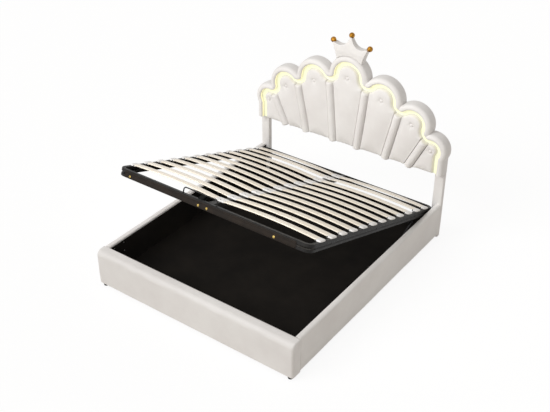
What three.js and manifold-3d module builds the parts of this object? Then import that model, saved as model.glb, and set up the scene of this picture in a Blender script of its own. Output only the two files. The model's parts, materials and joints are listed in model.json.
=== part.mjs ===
// Ottoman bed: upholstered box with a shell headboard and a slatted platform on gas struts.
// Millimetres, +Z up, +Y towards the headboard, origin on the floor at the middle of the footprint.
import * as THREE from "three";
import { mergeVertices } from "three/addons/utils/BufferGeometryUtils.js";
import Module from "manifold-3d";

const wasm = await Module();
wasm.setup();

// Whole bed
const bedWidth = 1900;
const bedLength = 2230;
const railTop = 334;
const undersideHeight = 24;
const seatGap = 0.3;
const cutOverrun = 6;

// Box panels
const railThickness = 54;
const footThickness = 98;
const liningThickness = 16;
const coverLip = 20;
const railInset = 5;
const railUnderside = 33;
const railTopRadius = 20;
const railLipRadius = 12;
const footTopRadius = 45;
const footEndRadius = 14;
const footCornerRadius = 22;
const footHemRadius = 11;
const hemRadius = 6;

// Storage floor
const floorThickness = 12;
const battenHeight = 30;
const battenWidth = 44;
const floorSeamShare = 0.63;
const battenPlaceShares = [0.22, 0.63];
const headBoardHeight = 121;
const headBoardThickness = 18;
const headBoardSetback = 12;
const footRadius = 23;
const footTaper = 3;
const footInset = 19;
const frontFootSetback = 32;

// Headboard
const legWidth = 84;
const legDepth = 46;
const legInset = 6;
const legEdgeRadius = 7;
const legGlideHeight = 3;
const headboardBottom = 640;
const headboardRise = 826;
const headboardDepth = 110;
const headboardBackSetback = 2;
const borderWidth = 50;
const borderFrontRadius = 34;
const borderInnerRadius = 12;
const borderHollow = 3;
const ledChannelWidth = 40;
const ledHeight = 16;
const ledEdge = 4;
const coreSetback = 4;
const coreFront = 40;
const petalEdgeHeight = 24;
const petalCrown = 23;
const petalEdgeSoftness = 24;
const petalRingShares = [1, 0.94, 0.82, 0.6, 0.36, 0.2, 0.1];
const petalStepShare = 7;
const tuftDepth = 24;
const tuftRadius = 26;
const fluteWidth = 70;
const fluteHeight = 61;
const fluteEndRadius = 16;
const fluteGap = 1;
const fluteStationShare = 0.3;
const fluteEndRiseShare = 0.72;
const fluteEndWidthShare = 0.86;
const fluteRoundness = 0.8;
const lobeAcrossShares = [0, 0.3528, 0.6674, 0.8686];
const lobeHeightShares = [0.7736, 0.6416, 0.4782, 0.2542];
const lobeRadiusShares = [0.1981, 0.197, 0.1822, 0.1504];
const fluteFootShares = [0.128, 0.428, 0.665];
const tuftLiftShare = -0.055;

// Crown
const crownFrontSetback = 12;
const crownThickness = 74;
const crownEdgeRadius = 5;
const crownBaseHalfWidth = 122;
const crownTipHalfWidth = 176;
const crownTipRise = 100;
const crownCentreRise = 178;
const crownTipWidth = 20;
const crownTipSetback = 9;
const crownSideEase = 9;
const crownValleyShare = 0.24;
const crownValleyDrop = 43;
const crownTaperRise = 34;
const crownTaperDepth = 17;
const crownRoot = 26;
const ballRadius = 24;

// Slatted platform, measured from its head edge along its slope
const liftAngle = 20;
const platformSideGap = 8;
const platformHeadGap = 12;
const platformFootGap = 63;
const platformHeadHeight = 305;
const tubeWidth = 30;
const upperTubeHeight = 26;
const tubeSpacing = 14;
const lowerTubeHeight = 22;
const tubeEdge = 2.5;
const bendRadius = 62;
const spacerLength = 60;
const spacerPlaceShares = [0.16, 0.5, 0.84];
const centreRailWidth = 50;
const centreRailHeight = 40;
const footPlateThickness = 4;
const footPlateHeight = 52;
const footPlateDrop = 7;
const footPlateLeft = 740;
const footPlateRight = 775;

// Slats
const slatRows = 12;
const firstSlat = 150;
const lastSlatMargin = 161;
const slatWidth = 68;
const slatThickness = 8;
const slatRise = 16;
const slatLift = 1.7;
const slatSeat = 6;
const capLength = 50;
const centreCapLength = 92;
const capWidth = 78;
const capHeight = 12.5;
const capCornerRadius = 14;
const capEdge = 3;
const capOverhang = 1;

// Mattress hoop and pull strap on the foot end of the platform
const hoopRadius = 5;
const hoopHeight = 50;
const hoopWidth = 316;
const hoopCentre = -92;
const hoopBend = 24;
const strapWidth = 40;
const strapThickness = 3;
const strapCentre = -92;
const strapLoop = 46;
const strapTurnShares = [[0.2, 0.3], [0.8, 0.4], [1, 0], [0.6, -0.36]];
const strapTuckShare = -0.26;

// Lift mechanism
const pivotSetback = 30;
const pivotDrop = 48;
const pivotBossRadius = 20;
const pivotPinRadius = 8;
const pinClearance = 0.3;
const basePlateThickness = 4;
const basePlateFootSetback = 922;
const basePlateHeadSetback = 7;
const basePlateBottom = 72;
const baseBarHeight = 72;
const baseHeadWidth = 86;
const baseHeadRunShare = 2;
const baseHeadMargin = 26;
const baseSlotLength = 150;
const baseSlotHeight = 26;
const baseSlotShares = [0.35, 0.55, 0.75];
const strutFootSetback = 872;
const strutFootHeight = 110;
const strutHeadSetback = 350;
const strutHeadDrop = 90;
const strutInset = 28;
const strutTubeRadius = 11;
const strutTubeLength = 330;
const strutBoreBottom = 62;
const rodRadius = 5;
const rodStart = 130;
const eyeRadius = 12;
const eyeWidth = 12;
const studRadius = 5;
const lugThickness = 8;
const lugLength = 104;
const lugMargin = 22;
const lugWeld = 2;
const boltHeadRadius = 8;
const boltHeadHeight = 4;

// Steps along each rounded form
const roundSides = 16;
const hexSides = 6;
const footPadSides = 20;
const ballSides = 12;
const ballRings = 8;
const footCornerSteps = 5;
const footTopSteps = 7;
const borderRoundSteps = 5;
const topLobeSteps = 4;
const sideLobeSteps = 7;
const notchSteps = 4;
const valleySteps = 2;
const lastValleySteps = 3;
const fluteSteps = 8;
const slatSteps = 6;
const hoopSteps = 44;
const hoopCurves = 4;
const strapSteps = 16;

// Values worked out from the sizes above
const halfWidth = bedWidth / 2;
const innerHalf = halfWidth - railThickness;
const liningTop = railTop - coverLip;
const legFront = bedLength - legDepth;
const legOuter = halfWidth - legInset;
const legInner = legOuter - legWidth;
const railStart = footThickness + seatGap;
const railEnd = legFront - seatGap;
const floorBottom = undersideHeight + battenHeight + seatGap;
const headBack = bedLength - headboardBackSetback;
const headFront = headBack - headboardDepth;
const coreFace = headFront + coreFront;
const ledInset = borderWidth + seatGap;
const petalInset = borderWidth + ledChannelWidth;
const platformHalf = innerHalf - platformSideGap;
const strutAcross = innerHalf - strutInset;
const frameDepth = upperTubeHeight + tubeSpacing + lowerTubeHeight;
const tilt = THREE.MathUtils.degToRad(liftAngle);
const headEdge = legFront - platformHeadGap;
const platformLength = headEdge - footThickness - platformFootGap;
const lastSlat = platformLength - lastSlatMargin;
const basePlateFoot = headEdge - basePlateFootSetback;
const basePlateHead = headEdge - basePlateHeadSetback;
const strutFoot = headEdge - strutFootSetback;

// Materials
function finish(color, roughness, metalness = 0) {
  return new THREE.MeshStandardMaterial({ color, roughness, metalness });
}
const upholstery = () => finish("#e9e6e1", 0.48);
const lining = () => finish("#17161a", 0.9);
const blackSteel = () => finish("#24221f", 0.45, 0.6);
const birch = () => finish("#e4d5ba", 0.55);
const brightSteel = () => finish("#c8c9cc", 0.25, 1);
const gold = () => finish("#c88a2e", 0.25, 1);
const blackPlastic = () => finish("#141414", 0.6);
const webbing = () => finish("#1b1b1d", 0.85);
const diffuser = () => {
  const made = finish("#fbf8c8", 0.5);
  made.emissive = new THREE.Color("#f6f29a");
  return made;
};

// Solids and meshes
function weld(geometry) {
  const bare = new THREE.BufferGeometry();
  bare.setAttribute("position", geometry.getAttribute("position"));
  if (geometry.index) bare.setIndex(geometry.index);
  return mergeVertices(bare);
}

function solid(geometry) {
  const merged = weld(geometry);
  const { array } = merged.attributes.position;
  return new wasm.Manifold(
    new wasm.Mesh({ numProp: 3, vertProperties: array, triVerts: new Uint32Array(merged.index.array) }),
  );
}

function surface(made) {
  const { vertProperties, triVerts } = made.getMesh();
  const geometry = new THREE.BufferGeometry();
  geometry.setAttribute("position", new THREE.BufferAttribute(vertProperties, 3));
  geometry.setIndex(new THREE.BufferAttribute(triVerts, 1));
  return geometry;
}

function join(geometries) {
  return surface(geometries.map(solid).reduce((a, b) => a.add(b)));
}

function cut(geometry, tools) {
  return surface(tools.map(solid).reduce((a, b) => a.subtract(b), solid(geometry)));
}

function piece(parent, name, geometry, material) {
  const bare = geometry.index ? geometry.toNonIndexed() : geometry;
  bare.computeVertexNormals();
  const mesh = new THREE.Mesh(bare, material);
  mesh.name = name;
  parent.add(mesh);
  return mesh;
}

function mirrored(geometry) {
  const flat = geometry.index ? geometry.toNonIndexed() : geometry;
  const from = flat.getAttribute("position");
  const to = new Float32Array(from.count * 3);
  for (let i = 0; i < from.count; i += 1) {
    const face = i - (i % 3);
    const k = face + (2 - (i % 3));
    to.set([-from.getX(k), from.getY(k), from.getZ(k)], i * 3);
  }
  const made = new THREE.BufferGeometry();
  made.setAttribute("position", new THREE.BufferAttribute(to, 3));
  return made;
}

// A closed surface from corner points and faces, with equal points shared and its faces turned outwards
function closed(points, faces) {
  const places = new Map();
  const kept = [];
  const slot = points.map((p) => {
    const key = p.toArray().map((v) => Math.fround(v).toFixed(3)).join(" ");
    if (!places.has(key)) {
      places.set(key, kept.length);
      kept.push(p);
    }
    return places.get(key);
  });
  const used = faces
    .map((face) => face.map((i) => slot[i]))
    .filter(([a, b, c]) => a !== b && b !== c && a !== c);
  const volume = used.reduce(
    (sum, [a, b, c]) => sum + kept[a].dot(kept[b].clone().cross(kept[c])),
    0,
  );
  const turned = volume < 0 ? used.map(([a, b, c]) => [a, c, b]) : used;
  const geometry = new THREE.BufferGeometry();
  geometry.setAttribute(
    "position",
    new THREE.Float32BufferAttribute(kept.flatMap((p) => p.toArray()), 3),
  );
  geometry.setIndex(turned.flat());
  return geometry;
}

// Rings of equal point counts joined in order, each end closed by a fan
function loft(rings) {
  const count = rings[0].length;
  const points = rings.flat();
  const faces = [];
  for (let r = 0; r + 1 < rings.length; r += 1) {
    for (let i = 0; i < count; i += 1) {
      const a = r * count + i;
      const b = r * count + ((i + 1) % count);
      faces.push([a, b, a + count], [b, b + count, a + count]);
    }
  }
  [0, rings.length - 1].forEach((r, end) => {
    const centre = new THREE.Vector3();
    rings[r].forEach((p) => centre.add(p));
    points.push(centre.divideScalar(count));
    const hub = points.length - 1;
    for (let i = 0; i < count; i += 1) {
      const a = r * count + i;
      const b = r * count + ((i + 1) % count);
      faces.push(end ? [a, b, hub] : [b, a, hub]);
    }
  });
  return closed(points, faces);
}

// A box between two corners
function block(low, high) {
  const size = high.map((v, i) => v - low[i]);
  const middle = high.map((v, i) => (v + low[i]) / 2);
  return new THREE.BoxGeometry(...size).translate(...middle);
}

// A shape drawn across and up, made thick from front to back
function uprightPlate(shape, front, back, edge = 0, curves = 3) {
  const made = new THREE.ExtrudeGeometry(shape, extrusion(back - front, edge, curves));
  return made.rotateX(Math.PI / 2).translate(0, back - edge, 0);
}

// A shape drawn across and along, made thick from bottom to top
function flatPlate(shape, bottom, top, edge = 0, curves = 3) {
  const made = new THREE.ExtrudeGeometry(shape, extrusion(top - bottom, edge, curves));
  return made.translate(0, 0, bottom + edge);
}

// A shape drawn along and up, made thick across the bed
function sidePlate(shape, inner, outer, edge = 0) {
  const turn = new THREE.Matrix4().makeBasis(
    new THREE.Vector3(0, 1, 0),
    new THREE.Vector3(0, 0, 1),
    new THREE.Vector3(1, 0, 0),
  );
  const made = new THREE.ExtrudeGeometry(shape, extrusion(outer - inner, edge));
  return made.applyMatrix4(turn).translate(inner + edge, 0, 0);
}

function extrusion(depth, edge, curves = 3) {
  return {
    depth: depth - 2 * edge,
    bevelEnabled: edge > 0,
    bevelThickness: edge,
    bevelSize: edge,
    bevelOffset: -edge,
    bevelSegments: 1,
    curveSegments: curves,
  };
}

function crossPin(radius, inner, outer, along, up, sides = roundSides) {
  const made = new THREE.CylinderGeometry(radius, radius, outer - inner, sides);
  return made.rotateZ(Math.PI / 2).translate((inner + outer) / 2, along, up);
}

function roundedRectangle(low, high, radius) {
  const shape = new THREE.Shape();
  shape.absarc(high[0] - radius, high[1] - radius, radius, 0, Math.PI / 2);
  shape.absarc(low[0] + radius, high[1] - radius, radius, Math.PI / 2, Math.PI);
  shape.absarc(low[0] + radius, low[1] + radius, radius, Math.PI, 1.5 * Math.PI);
  shape.absarc(high[0] - radius, low[1] + radius, radius, 1.5 * Math.PI, 2 * Math.PI);
  return shape;
}

// Side rails: a lining board with an upholstered cover that wraps over its top
function railCover() {
  const shape = new THREE.Shape();
  const inner = innerHalf + liningThickness + seatGap;
  const outer = halfWidth - railInset;
  shape.moveTo(inner, railUnderside);
  shape.absarc(outer - hemRadius, railUnderside + hemRadius, hemRadius, -Math.PI / 2, 0);
  shape.absarc(outer - railTopRadius, railTop - railTopRadius, railTopRadius, 0, Math.PI / 2);
  shape.absarc(innerHalf + railLipRadius, railTop - railLipRadius, railLipRadius, Math.PI / 2, Math.PI);
  shape.lineTo(innerHalf, liningTop + seatGap);
  shape.lineTo(inner, liningTop + seatGap);
  return uprightPlate(shape, railStart, railEnd);
}

function railBoard() {
  return block([innerHalf, railStart, railUnderside], [innerHalf + liningThickness, railEnd, liningTop]);
}

function addRails(bed) {
  const cover = railCover();
  const board = railBoard();
  piece(bed, "right_rail_cover", cover, upholstery());
  piece(bed, "left_rail_cover", mirrored(cover), upholstery());
  piece(bed, "right_rail_board", board, lining());
  piece(bed, "left_rail_board", mirrored(board), lining());
}

// Foot panel: one padded cover with a deep round top edge, hollowed at the back for its board
function footRing(height, sideInset, frontInset) {
  const ring = [];
  const radius = footCornerRadius;
  [1, -1].forEach((side) => {
    const arc = [];
    for (let i = 0; i <= footCornerSteps; i += 1) {
      const angle = (i / footCornerSteps) * (Math.PI / 2);
      const across = halfWidth - sideInset - radius * (1 - Math.cos(angle));
      const along = frontInset + radius * (1 - Math.sin(angle));
      arc.push(new THREE.Vector3(side * across, along, height));
    }
    if (side < 0) arc.reverse();
    ring.push(...arc);
  });
  ring.push(new THREE.Vector3(sideInset - halfWidth, footThickness, height));
  ring.unshift(new THREE.Vector3(halfWidth - sideInset, footThickness, height));
  return ring;
}

function addFootPanel(bed) {
  const hem = footRing(undersideHeight, footHemRadius, footHemRadius);
  const rings = [hem, footRing(undersideHeight + footHemRadius, 0, 0)];
  for (let i = 0; i <= footTopSteps; i += 1) {
    const angle = (i / footTopSteps) * (Math.PI / 2);
    const drop = footTopRadius * (1 - Math.sin(angle));
    const frontInset = footTopRadius * (1 - Math.cos(angle));
    const past = Math.max(0, footEndRadius - drop);
    const sideInset = footEndRadius - Math.sqrt(footEndRadius ** 2 - past ** 2);
    rings.push(footRing(railTop - drop, sideInset, frontInset));
  }
  const boardFront = footThickness - liningThickness;
  const pocket = block(
    [-innerHalf - seatGap, boardFront - seatGap, undersideHeight - cutOverrun],
    [innerHalf + seatGap, footThickness + cutOverrun, liningTop + seatGap],
  );
  piece(bed, "foot_cover", cut(loft(rings), [pocket]), upholstery());
  const board = block([-innerHalf, boardFront, undersideHeight], [innerHalf, footThickness, liningTop]);
  piece(bed, "foot_board", board, lining());
}

// Storage floor: two panels on an H of battens, with a low board closing the head end
function addFloor(bed) {
  const start = footThickness + seatGap;
  const end = legFront + headBoardSetback - seatGap;
  const seam = start + (end - start) * floorSeamShare;
  const half = innerHalf - seatGap;
  const top = floorBottom + floorThickness;
  const nearLegs = legFront - seatGap;
  const front = block([-half, start, floorBottom], [half, seam - seatGap, top]);
  const wide = block([-half, seam, floorBottom], [half, nearLegs, top]);
  const tongue = block([seatGap - legInner, seam + cutOverrun, floorBottom], [legInner - seatGap, end, top]);
  piece(bed, "floor_panel_front", front, lining());
  piece(bed, "floor_panel_back", join([wide, tongue]), lining());
  const battens = battenPlaceShares.map((share) => {
    const middle = start + (end - start) * share;
    return block(
      [-half, middle - battenWidth / 2, undersideHeight],
      [half, middle + battenWidth / 2, undersideHeight + battenHeight],
    );
  });
  const spine = block(
    [-battenWidth / 2, start, undersideHeight],
    [battenWidth / 2, end, undersideHeight + battenHeight],
  );
  const stubs = battenPlaceShares.map((share) => footPad(0, start + (end - start) * share, cutOverrun));
  piece(bed, "floor_frame", join([...battens, spine, ...stubs]), lining());
  const boardFront = legFront + headBoardSetback;
  const board = block(
    [seatGap - legInner, boardFront, undersideHeight],
    [legInner - seatGap, boardFront + headBoardThickness, undersideHeight + headBoardHeight],
  );
  piece(bed, "head_cross_board", board, lining());
}

function footPad(across, along, sunk = 0) {
  const height = undersideHeight + sunk;
  const made = new THREE.CylinderGeometry(footRadius, footRadius - footTaper, height, footPadSides);
  return made.rotateX(Math.PI / 2).translate(across, along, height / 2);
}

function addFeet(bed) {
  const across = halfWidth - footInset - footRadius;
  piece(bed, "front_left_foot", footPad(-across, frontFootSetback), blackPlastic());
  piece(bed, "front_right_foot", footPad(across, frontFootSetback), blackPlastic());
}

// Headboard legs stand beside the box and carry the headboard
function addLegs(bed) {
  const shape = roundedRectangle([legInner, legFront], [legOuter, bedLength], legEdgeRadius);
  const leg = flatPlate(shape, legGlideHeight, headboardBottom - seatGap, 0, 2);
  const glide = flatPlate(
    roundedRectangle(
      [legInner + legEdgeRadius, legFront + legEdgeRadius],
      [legOuter - legEdgeRadius, bedLength - legEdgeRadius],
      legEdgeRadius,
    ),
    0,
    legGlideHeight + cutOverrun,
    0,
    1,
  );
  const standing = join([leg, glide]);
  piece(bed, "right_leg", standing, upholstery());
  piece(bed, "left_leg", mirrored(standing), upholstery());
}

// Scalloped outline: each sample is a point of the outer rim and the direction that points out of it
const lobes = lobeAcrossShares.map((share, i) => ({
  centre: new THREE.Vector2(share * legOuter, headboardBottom + lobeHeightShares[i] * headboardRise),
  radius: lobeRadiusShares[i] * legOuter,
}));

function lobeNotch(a, b) {
  const apart = b.centre.clone().sub(a.centre);
  const distance = apart.length();
  const reach = (distance ** 2 + a.radius ** 2 - b.radius ** 2) / (2 * distance);
  const height = Math.sqrt(a.radius ** 2 - reach ** 2);
  const along = apart.normalize();
  const out = new THREE.Vector2(-along.y, along.x);
  return a.centre.clone().addScaledVector(along, reach).addScaledVector(out, height);
}

const lastLobe = lobes[lobes.length - 1];
const waist = new THREE.Vector2(
  legOuter,
  lastLobe.centre.y - Math.sqrt(lastLobe.radius ** 2 - (legOuter - lastLobe.centre.x) ** 2),
);
const notches = [...lobes.slice(1).map((lobe, i) => lobeNotch(lobes[i], lobe)), waist];

function sweep(from, to, steps, make) {
  const made = [];
  for (let i = 0; i <= steps; i += 1) made.push(make(from + ((to - from) * i) / steps));
  return made;
}

const heading = (angle) => new THREE.Vector2(Math.cos(angle), Math.sin(angle));
const angleOf = (from, to) => Math.atan2(to.y - from.y, to.x - from.x);

function lobeSamples(index, steps) {
  const { centre, radius } = lobes[index];
  const start = index === 0 ? Math.PI / 2 : angleOf(centre, notches[index - 1]);
  const end = angleOf(centre, notches[index]);
  return sweep(start, end, steps, (angle) => {
    const out = heading(angle);
    return { rim: centre.clone().addScaledVector(out, radius), out };
  });
}

// At a notch the rim is one point, and the direction turns from one lobe's to the next one's
function notchSamples(index, steps, from, to) {
  const rim = notches[index];
  const next = index + 1 < lobes.length ? angleOf(lobes[index + 1].centre, rim) : 0;
  const start = from ?? angleOf(lobes[index].centre, rim);
  return sweep(start, to ?? next, steps, (angle) => ({ rim, out: heading(angle) }));
}

const lobeSteps = (index) => (index ? sideLobeSteps : topLobeSteps);

function halfRim() {
  const samples = [];
  lobes.forEach((lobe, i) => {
    samples.push(...lobeSamples(i, lobeSteps(i)));
    samples.push(...notchSamples(i, notchSteps).slice(1, -1));
  });
  samples.push({ rim: waist, out: heading(0) });
  samples.push({ rim: new THREE.Vector2(legOuter, headboardBottom), out: heading(0) });
  return samples;
}

const rightRim = halfRim();
const flip = (v) => new THREE.Vector2(-v.x, v.y);
const wholeRim = [
  ...rightRim.slice(1).reverse().map(({ rim, out }) => ({ rim: flip(rim), out: flip(out) })),
  ...rightRim,
];
const insetPoint = ({ rim, out }, inset) => rim.clone().addScaledVector(out, -inset);

// A strip with one section, given as inset and depth, carried round the whole rim
function rimStrip(section) {
  const rings = wholeRim.map((sample) =>
    section.map(([inset, along]) => {
      const p = insetPoint(sample, inset);
      return new THREE.Vector3(p.x, along, p.y);
    }),
  );
  return loft(rings);
}

// Border section: straight sides, a round outer front edge, a shallow hollow and a small inner radius
function borderSection(grow = 0) {
  const points = [[-grow, headBack + grow]];
  for (let i = 0; i <= borderRoundSteps; i += 1) {
    const angle = (i / borderRoundSteps) * (Math.PI / 2);
    points.push([
      borderFrontRadius * (1 - Math.cos(angle)) - grow * Math.cos(angle),
      headFront + borderFrontRadius * (1 - Math.sin(angle)) - grow * Math.sin(angle),
    ]);
  }
  points.push([borderWidth - borderHollow - grow, headFront + borderHollow]);
  points.push([borderWidth - grow, headFront + borderInnerRadius]);
  points.push([borderWidth - grow, headBack + grow]);
  return points;
}

function addHeadboardShell(bed) {
  piece(bed, "headboard_border", rimStrip(borderSection()), upholstery());
  const outline = wholeRim.map((sample) => insetPoint(sample, borderWidth + seatGap));
  const core = uprightPlate(new THREE.Shape(outline), coreFace, headBack - coreSetback);
  piece(bed, "headboard_core", core, upholstery());
  const ledBack = coreFace - seatGap;
  const outer = ledInset;
  const inner = petalInset - seatGap;
  const led = rimStrip([
    [outer, ledBack],
    [outer, ledBack - ledHeight + ledEdge],
    [outer + ledEdge, ledBack - ledHeight],
    [inner - ledEdge, ledBack - ledHeight],
    [inner, ledBack - ledHeight + ledEdge],
    [inner, ledBack],
  ]);
  piece(bed, "led_strip", led, diffuser());
}

// Flutes: half-round padded rolls that fan from the bottom edge towards the notches
const flutes = fluteFootShares.map((share, i) => {
  const foot = new THREE.Vector2(share * legOuter, headboardBottom);
  const along = notches[i].clone().sub(foot).normalize();
  return { foot, along, across: new THREE.Vector2(along.y, -along.x), notch: notches[i] };
});

function fluteSolid({ foot, along, across, notch }) {
  const length = foot.distanceTo(notch) - petalInset - seatGap;
  const half = fluteWidth / 2;
  const stations = [0, fluteEndRadius * fluteStationShare, fluteEndRadius, length / 2];
  const ends = [...stations, ...stations.slice(0, 3).reverse().map((v) => length - v)];
  const rings = ends.map((distance) => {
    const near = Math.min(distance, length - distance, fluteEndRadius) / fluteEndRadius;
    const swell = fluteEndRiseShare + (1 - fluteEndRiseShare) * Math.sqrt(1 - (1 - near) ** 2);
    const spread = half * (fluteEndWidthShare + (1 - fluteEndWidthShare) * swell);
    const middle = foot.clone().addScaledVector(along, distance);
    return sweep(0, Math.PI, fluteSteps, (angle) => {
      const p = middle.clone().addScaledVector(across, Math.cos(angle) * spread);
      const rise = fluteHeight * swell * Math.sin(angle) ** fluteRoundness;
      return new THREE.Vector3(p.x, coreFace - seatGap - Math.max(0, rise), Math.max(p.y, headboardBottom));
    });
  });
  return loft(rings);
}

function addFlutes(bed) {
  flutes.forEach((flute, i) => {
    const made = fluteSolid(flute);
    piece(bed, `right_flute_${i + 1}`, made, upholstery());
    piece(bed, `left_flute_${i + 1}`, mirrored(made), upholstery());
  });
}

// Where a line beside a flute meets the rounded valley under its notch, and the direction there
function valleyEntry(flute, side) {
  const offset = fluteWidth / 2 + fluteGap;
  const radius = petalInset + seatGap;
  const below = Math.sqrt(radius ** 2 - offset ** 2);
  const point = flute.notch.clone().addScaledVector(flute.along, -below);
  point.addScaledVector(flute.across, side * offset);
  return { point, angle: angleOf(point, flute.notch) };
}

function fluteEdgeFoot(flute, side) {
  const offset = (fluteWidth / 2 + fluteGap) / flute.along.y;
  return new THREE.Vector2(flute.foot.x + side * offset, headboardBottom);
}

function petalOutline(index) {
  const inset = petalInset + seatGap;
  const at = (samples) => samples.map((sample) => insetPoint(sample, inset));
  const valley = (samples) =>
    samples.map((sample, i) => {
      const turn = sample.out.angleTo(samples[i ? i - 1 : 1].out) / 2;
      return insetPoint(sample, inset / Math.cos(turn));
    });
  const right = [];
  if (index < flutes.length) {
    const entry = valleyEntry(flutes[index], -1);
    right.push(...valley(notchSamples(index, valleySteps, undefined, entry.angle)).slice(1));
    right.push(fluteEdgeFoot(flutes[index], -1));
  } else {
    right.push(...valley(notchSamples(index, lastValleySteps)).slice(1));
    right.push(new THREE.Vector2(legOuter - inset, headboardBottom));
  }
  const lobe = at(lobeSamples(index, lobeSteps(index)));
  if (index === 0) {
    const half = [...lobe, ...right];
    return [...half.slice(1).reverse().map(flip), ...half];
  }
  const entry = valleyEntry(flutes[index - 1], 1);
  const left = valley(notchSamples(index - 1, valleySteps, entry.angle)).slice(0, -1);
  return [fluteEdgeFoot(flutes[index - 1], 1), ...left, ...lobe, ...right];
}

function distanceToEdge(point, outline) {
  let nearest = Infinity;
  outline.forEach((a, i) => {
    const b = outline[(i + 1) % outline.length];
    const span = b.clone().sub(a);
    const share = THREE.MathUtils.clamp(point.clone().sub(a).dot(span) / span.lengthSq(), 0, 1);
    nearest = Math.min(nearest, point.distanceTo(a.clone().addScaledVector(span, share)));
  });
  return nearest;
}

// Long straight edges get extra points, so that the padding can follow them
function divided(outline, longest) {
  return outline.flatMap((a, i) => {
    const b = outline[(i + 1) % outline.length];
    const parts = Math.max(1, Math.round(a.distanceTo(b) / longest));
    return sweep(0, 1 - 1 / parts, parts - 1 || 1, (share) => a.clone().lerp(b, share)).slice(0, parts);
  });
}

// Petals: padded panels that swell from a thin edge and dip round a sewn tuft
function petalSolid(index) {
  const outline = divided(petalOutline(index), tuftRadius * petalStepShare);
  const { centre, radius } = lobes[index];
  const tuft = centre.clone().add(new THREE.Vector2(0, radius * tuftLiftShare));
  const back = coreFace - seatGap;
  const front = petalRingShares.map((share) =>
    outline.map((edge) => {
      const p = tuft.clone().lerp(edge, share);
      const swell = 1 - Math.exp(-distanceToEdge(p, outline) / petalEdgeSoftness);
      const dip = tuftDepth * Math.exp(-((p.distanceTo(tuft) / tuftRadius) ** 2));
      return new THREE.Vector3(p.x, back - petalEdgeHeight - petalCrown * swell + dip, p.y);
    }),
  );
  const rear = outline.map((edge) => new THREE.Vector3(edge.x, back, edge.y));
  return loft([rear, ...front]);
}

function addPetals(bed) {
  lobes.forEach((lobe, i) => {
    const made = petalSolid(i);
    if (i === 0) {
      piece(bed, "centre_petal", made, upholstery());
      return;
    }
    piece(bed, `right_petal_${i}`, made, upholstery());
    piece(bed, `left_petal_${i}`, mirrored(made), upholstery());
  });
}

// Crown: a padded three-pointed plate on the top lobe, each point cupped for its ball
function crownOutline() {
  const { centre, radius } = lobes[0];
  const top = centre.y + radius;
  const root = radius - crownRoot;
  const spread = Math.asin(crownBaseHalfWidth / radius);
  const shape = new THREE.Shape();
  shape.absarc(centre.x, centre.y, root, Math.PI / 2 + spread, Math.PI / 2 - spread, true);
  const tip = new THREE.Vector2(crownTipHalfWidth, top + crownTipRise).subScalar(crownTipSetback);
  const peak = top + crownCentreRise - crownTipSetback;
  const half = crownTipWidth / 2;
  const foot = new THREE.Vector2(root * Math.sin(spread), centre.y + root * Math.cos(spread));
  const side = crownBaseHalfWidth + crownSideEase;
  const valley = new THREE.Vector2(crownTipHalfWidth * crownValleyShare, tip.y - crownValleyDrop);
  shape.quadraticCurveTo(side, top + half, tip.x, tip.y - half);
  shape.lineTo(tip.x - half, tip.y);
  shape.quadraticCurveTo(valley.x, valley.y, half, peak);
  shape.lineTo(-half, peak);
  shape.quadraticCurveTo(-valley.x, valley.y, half - tip.x, tip.y);
  shape.lineTo(-tip.x, tip.y - half);
  shape.quadraticCurveTo(-side, top + half, -foot.x, foot.y);
  return shape;
}

// The crown thins towards its points, at the front and the back alike
function crownTaper(front, top) {
  const back = front + crownThickness;
  const high = top + crownCentreRise;
  const shape = new THREE.Shape();
  shape.moveTo(front, lobes[0].centre.y);
  shape.lineTo(back, lobes[0].centre.y);
  shape.lineTo(back, top + crownTaperRise);
  shape.lineTo(back - crownTaperDepth, high);
  shape.lineTo(front + crownTaperDepth, high);
  shape.lineTo(front, top + crownTaperRise);
  return sidePlate(shape, -crownTipHalfWidth, crownTipHalfWidth);
}

function addCrown(bed) {
  const top = lobes[0].centre.y + lobes[0].radius;
  const front = headFront + crownFrontSetback;
  const middle = front + crownThickness / 2;
  const places = {
    left: [-crownTipHalfWidth, top + crownTipRise],
    centre: [0, top + crownCentreRise],
    right: [crownTipHalfWidth, top + crownTipRise],
  };
  const ball = ([across, up], radius) => {
    const made = new THREE.SphereGeometry(radius, ballSides, ballRings);
    return made.translate(across, middle, up);
  };
  const plate = uprightPlate(crownOutline(), front, front + crownThickness, crownEdgeRadius);
  const blank = surface(solid(plate).intersect(solid(crownTaper(front, top))));
  const cups = Object.values(places).map((place) => ball(place, ballRadius + seatGap));
  const crown = cut(blank, [rimStrip(borderSection(seatGap)), ...cups]);
  piece(bed, "crown", crown, upholstery());
  Object.entries(places).forEach(([side, place]) => {
    piece(bed, `crown_ball_${side}`, ball(place, ballRadius), gold());
  });
}

// Platform half frame: two bent tubes, one above the other, with spacers, a hinge boss and a strut lug
function bentTube(bottom, top) {
  const outer = platformHalf;
  const inner = platformHalf - tubeWidth;
  const bend = bendRadius;
  const tight = bendRadius - tubeWidth;
  const shape = new THREE.Shape();
  const start = seatGap / 2;
  const far = -platformLength;
  shape.moveTo(start, -tubeWidth);
  shape.absarc(outer - bend, -bend, tight, Math.PI / 2, 0, true);
  shape.absarc(outer - bend, far + bend, tight, 0, -Math.PI / 2, true);
  shape.lineTo(start, far + tubeWidth);
  shape.lineTo(start, far);
  shape.absarc(outer - bend, far + bend, bend, -Math.PI / 2, 0);
  shape.absarc(outer - bend, -bend, bend, 0, Math.PI / 2);
  shape.lineTo(start, 0);
  return { shape, inner, made: flatPlate(shape, bottom, top, tubeEdge) };
}

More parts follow.
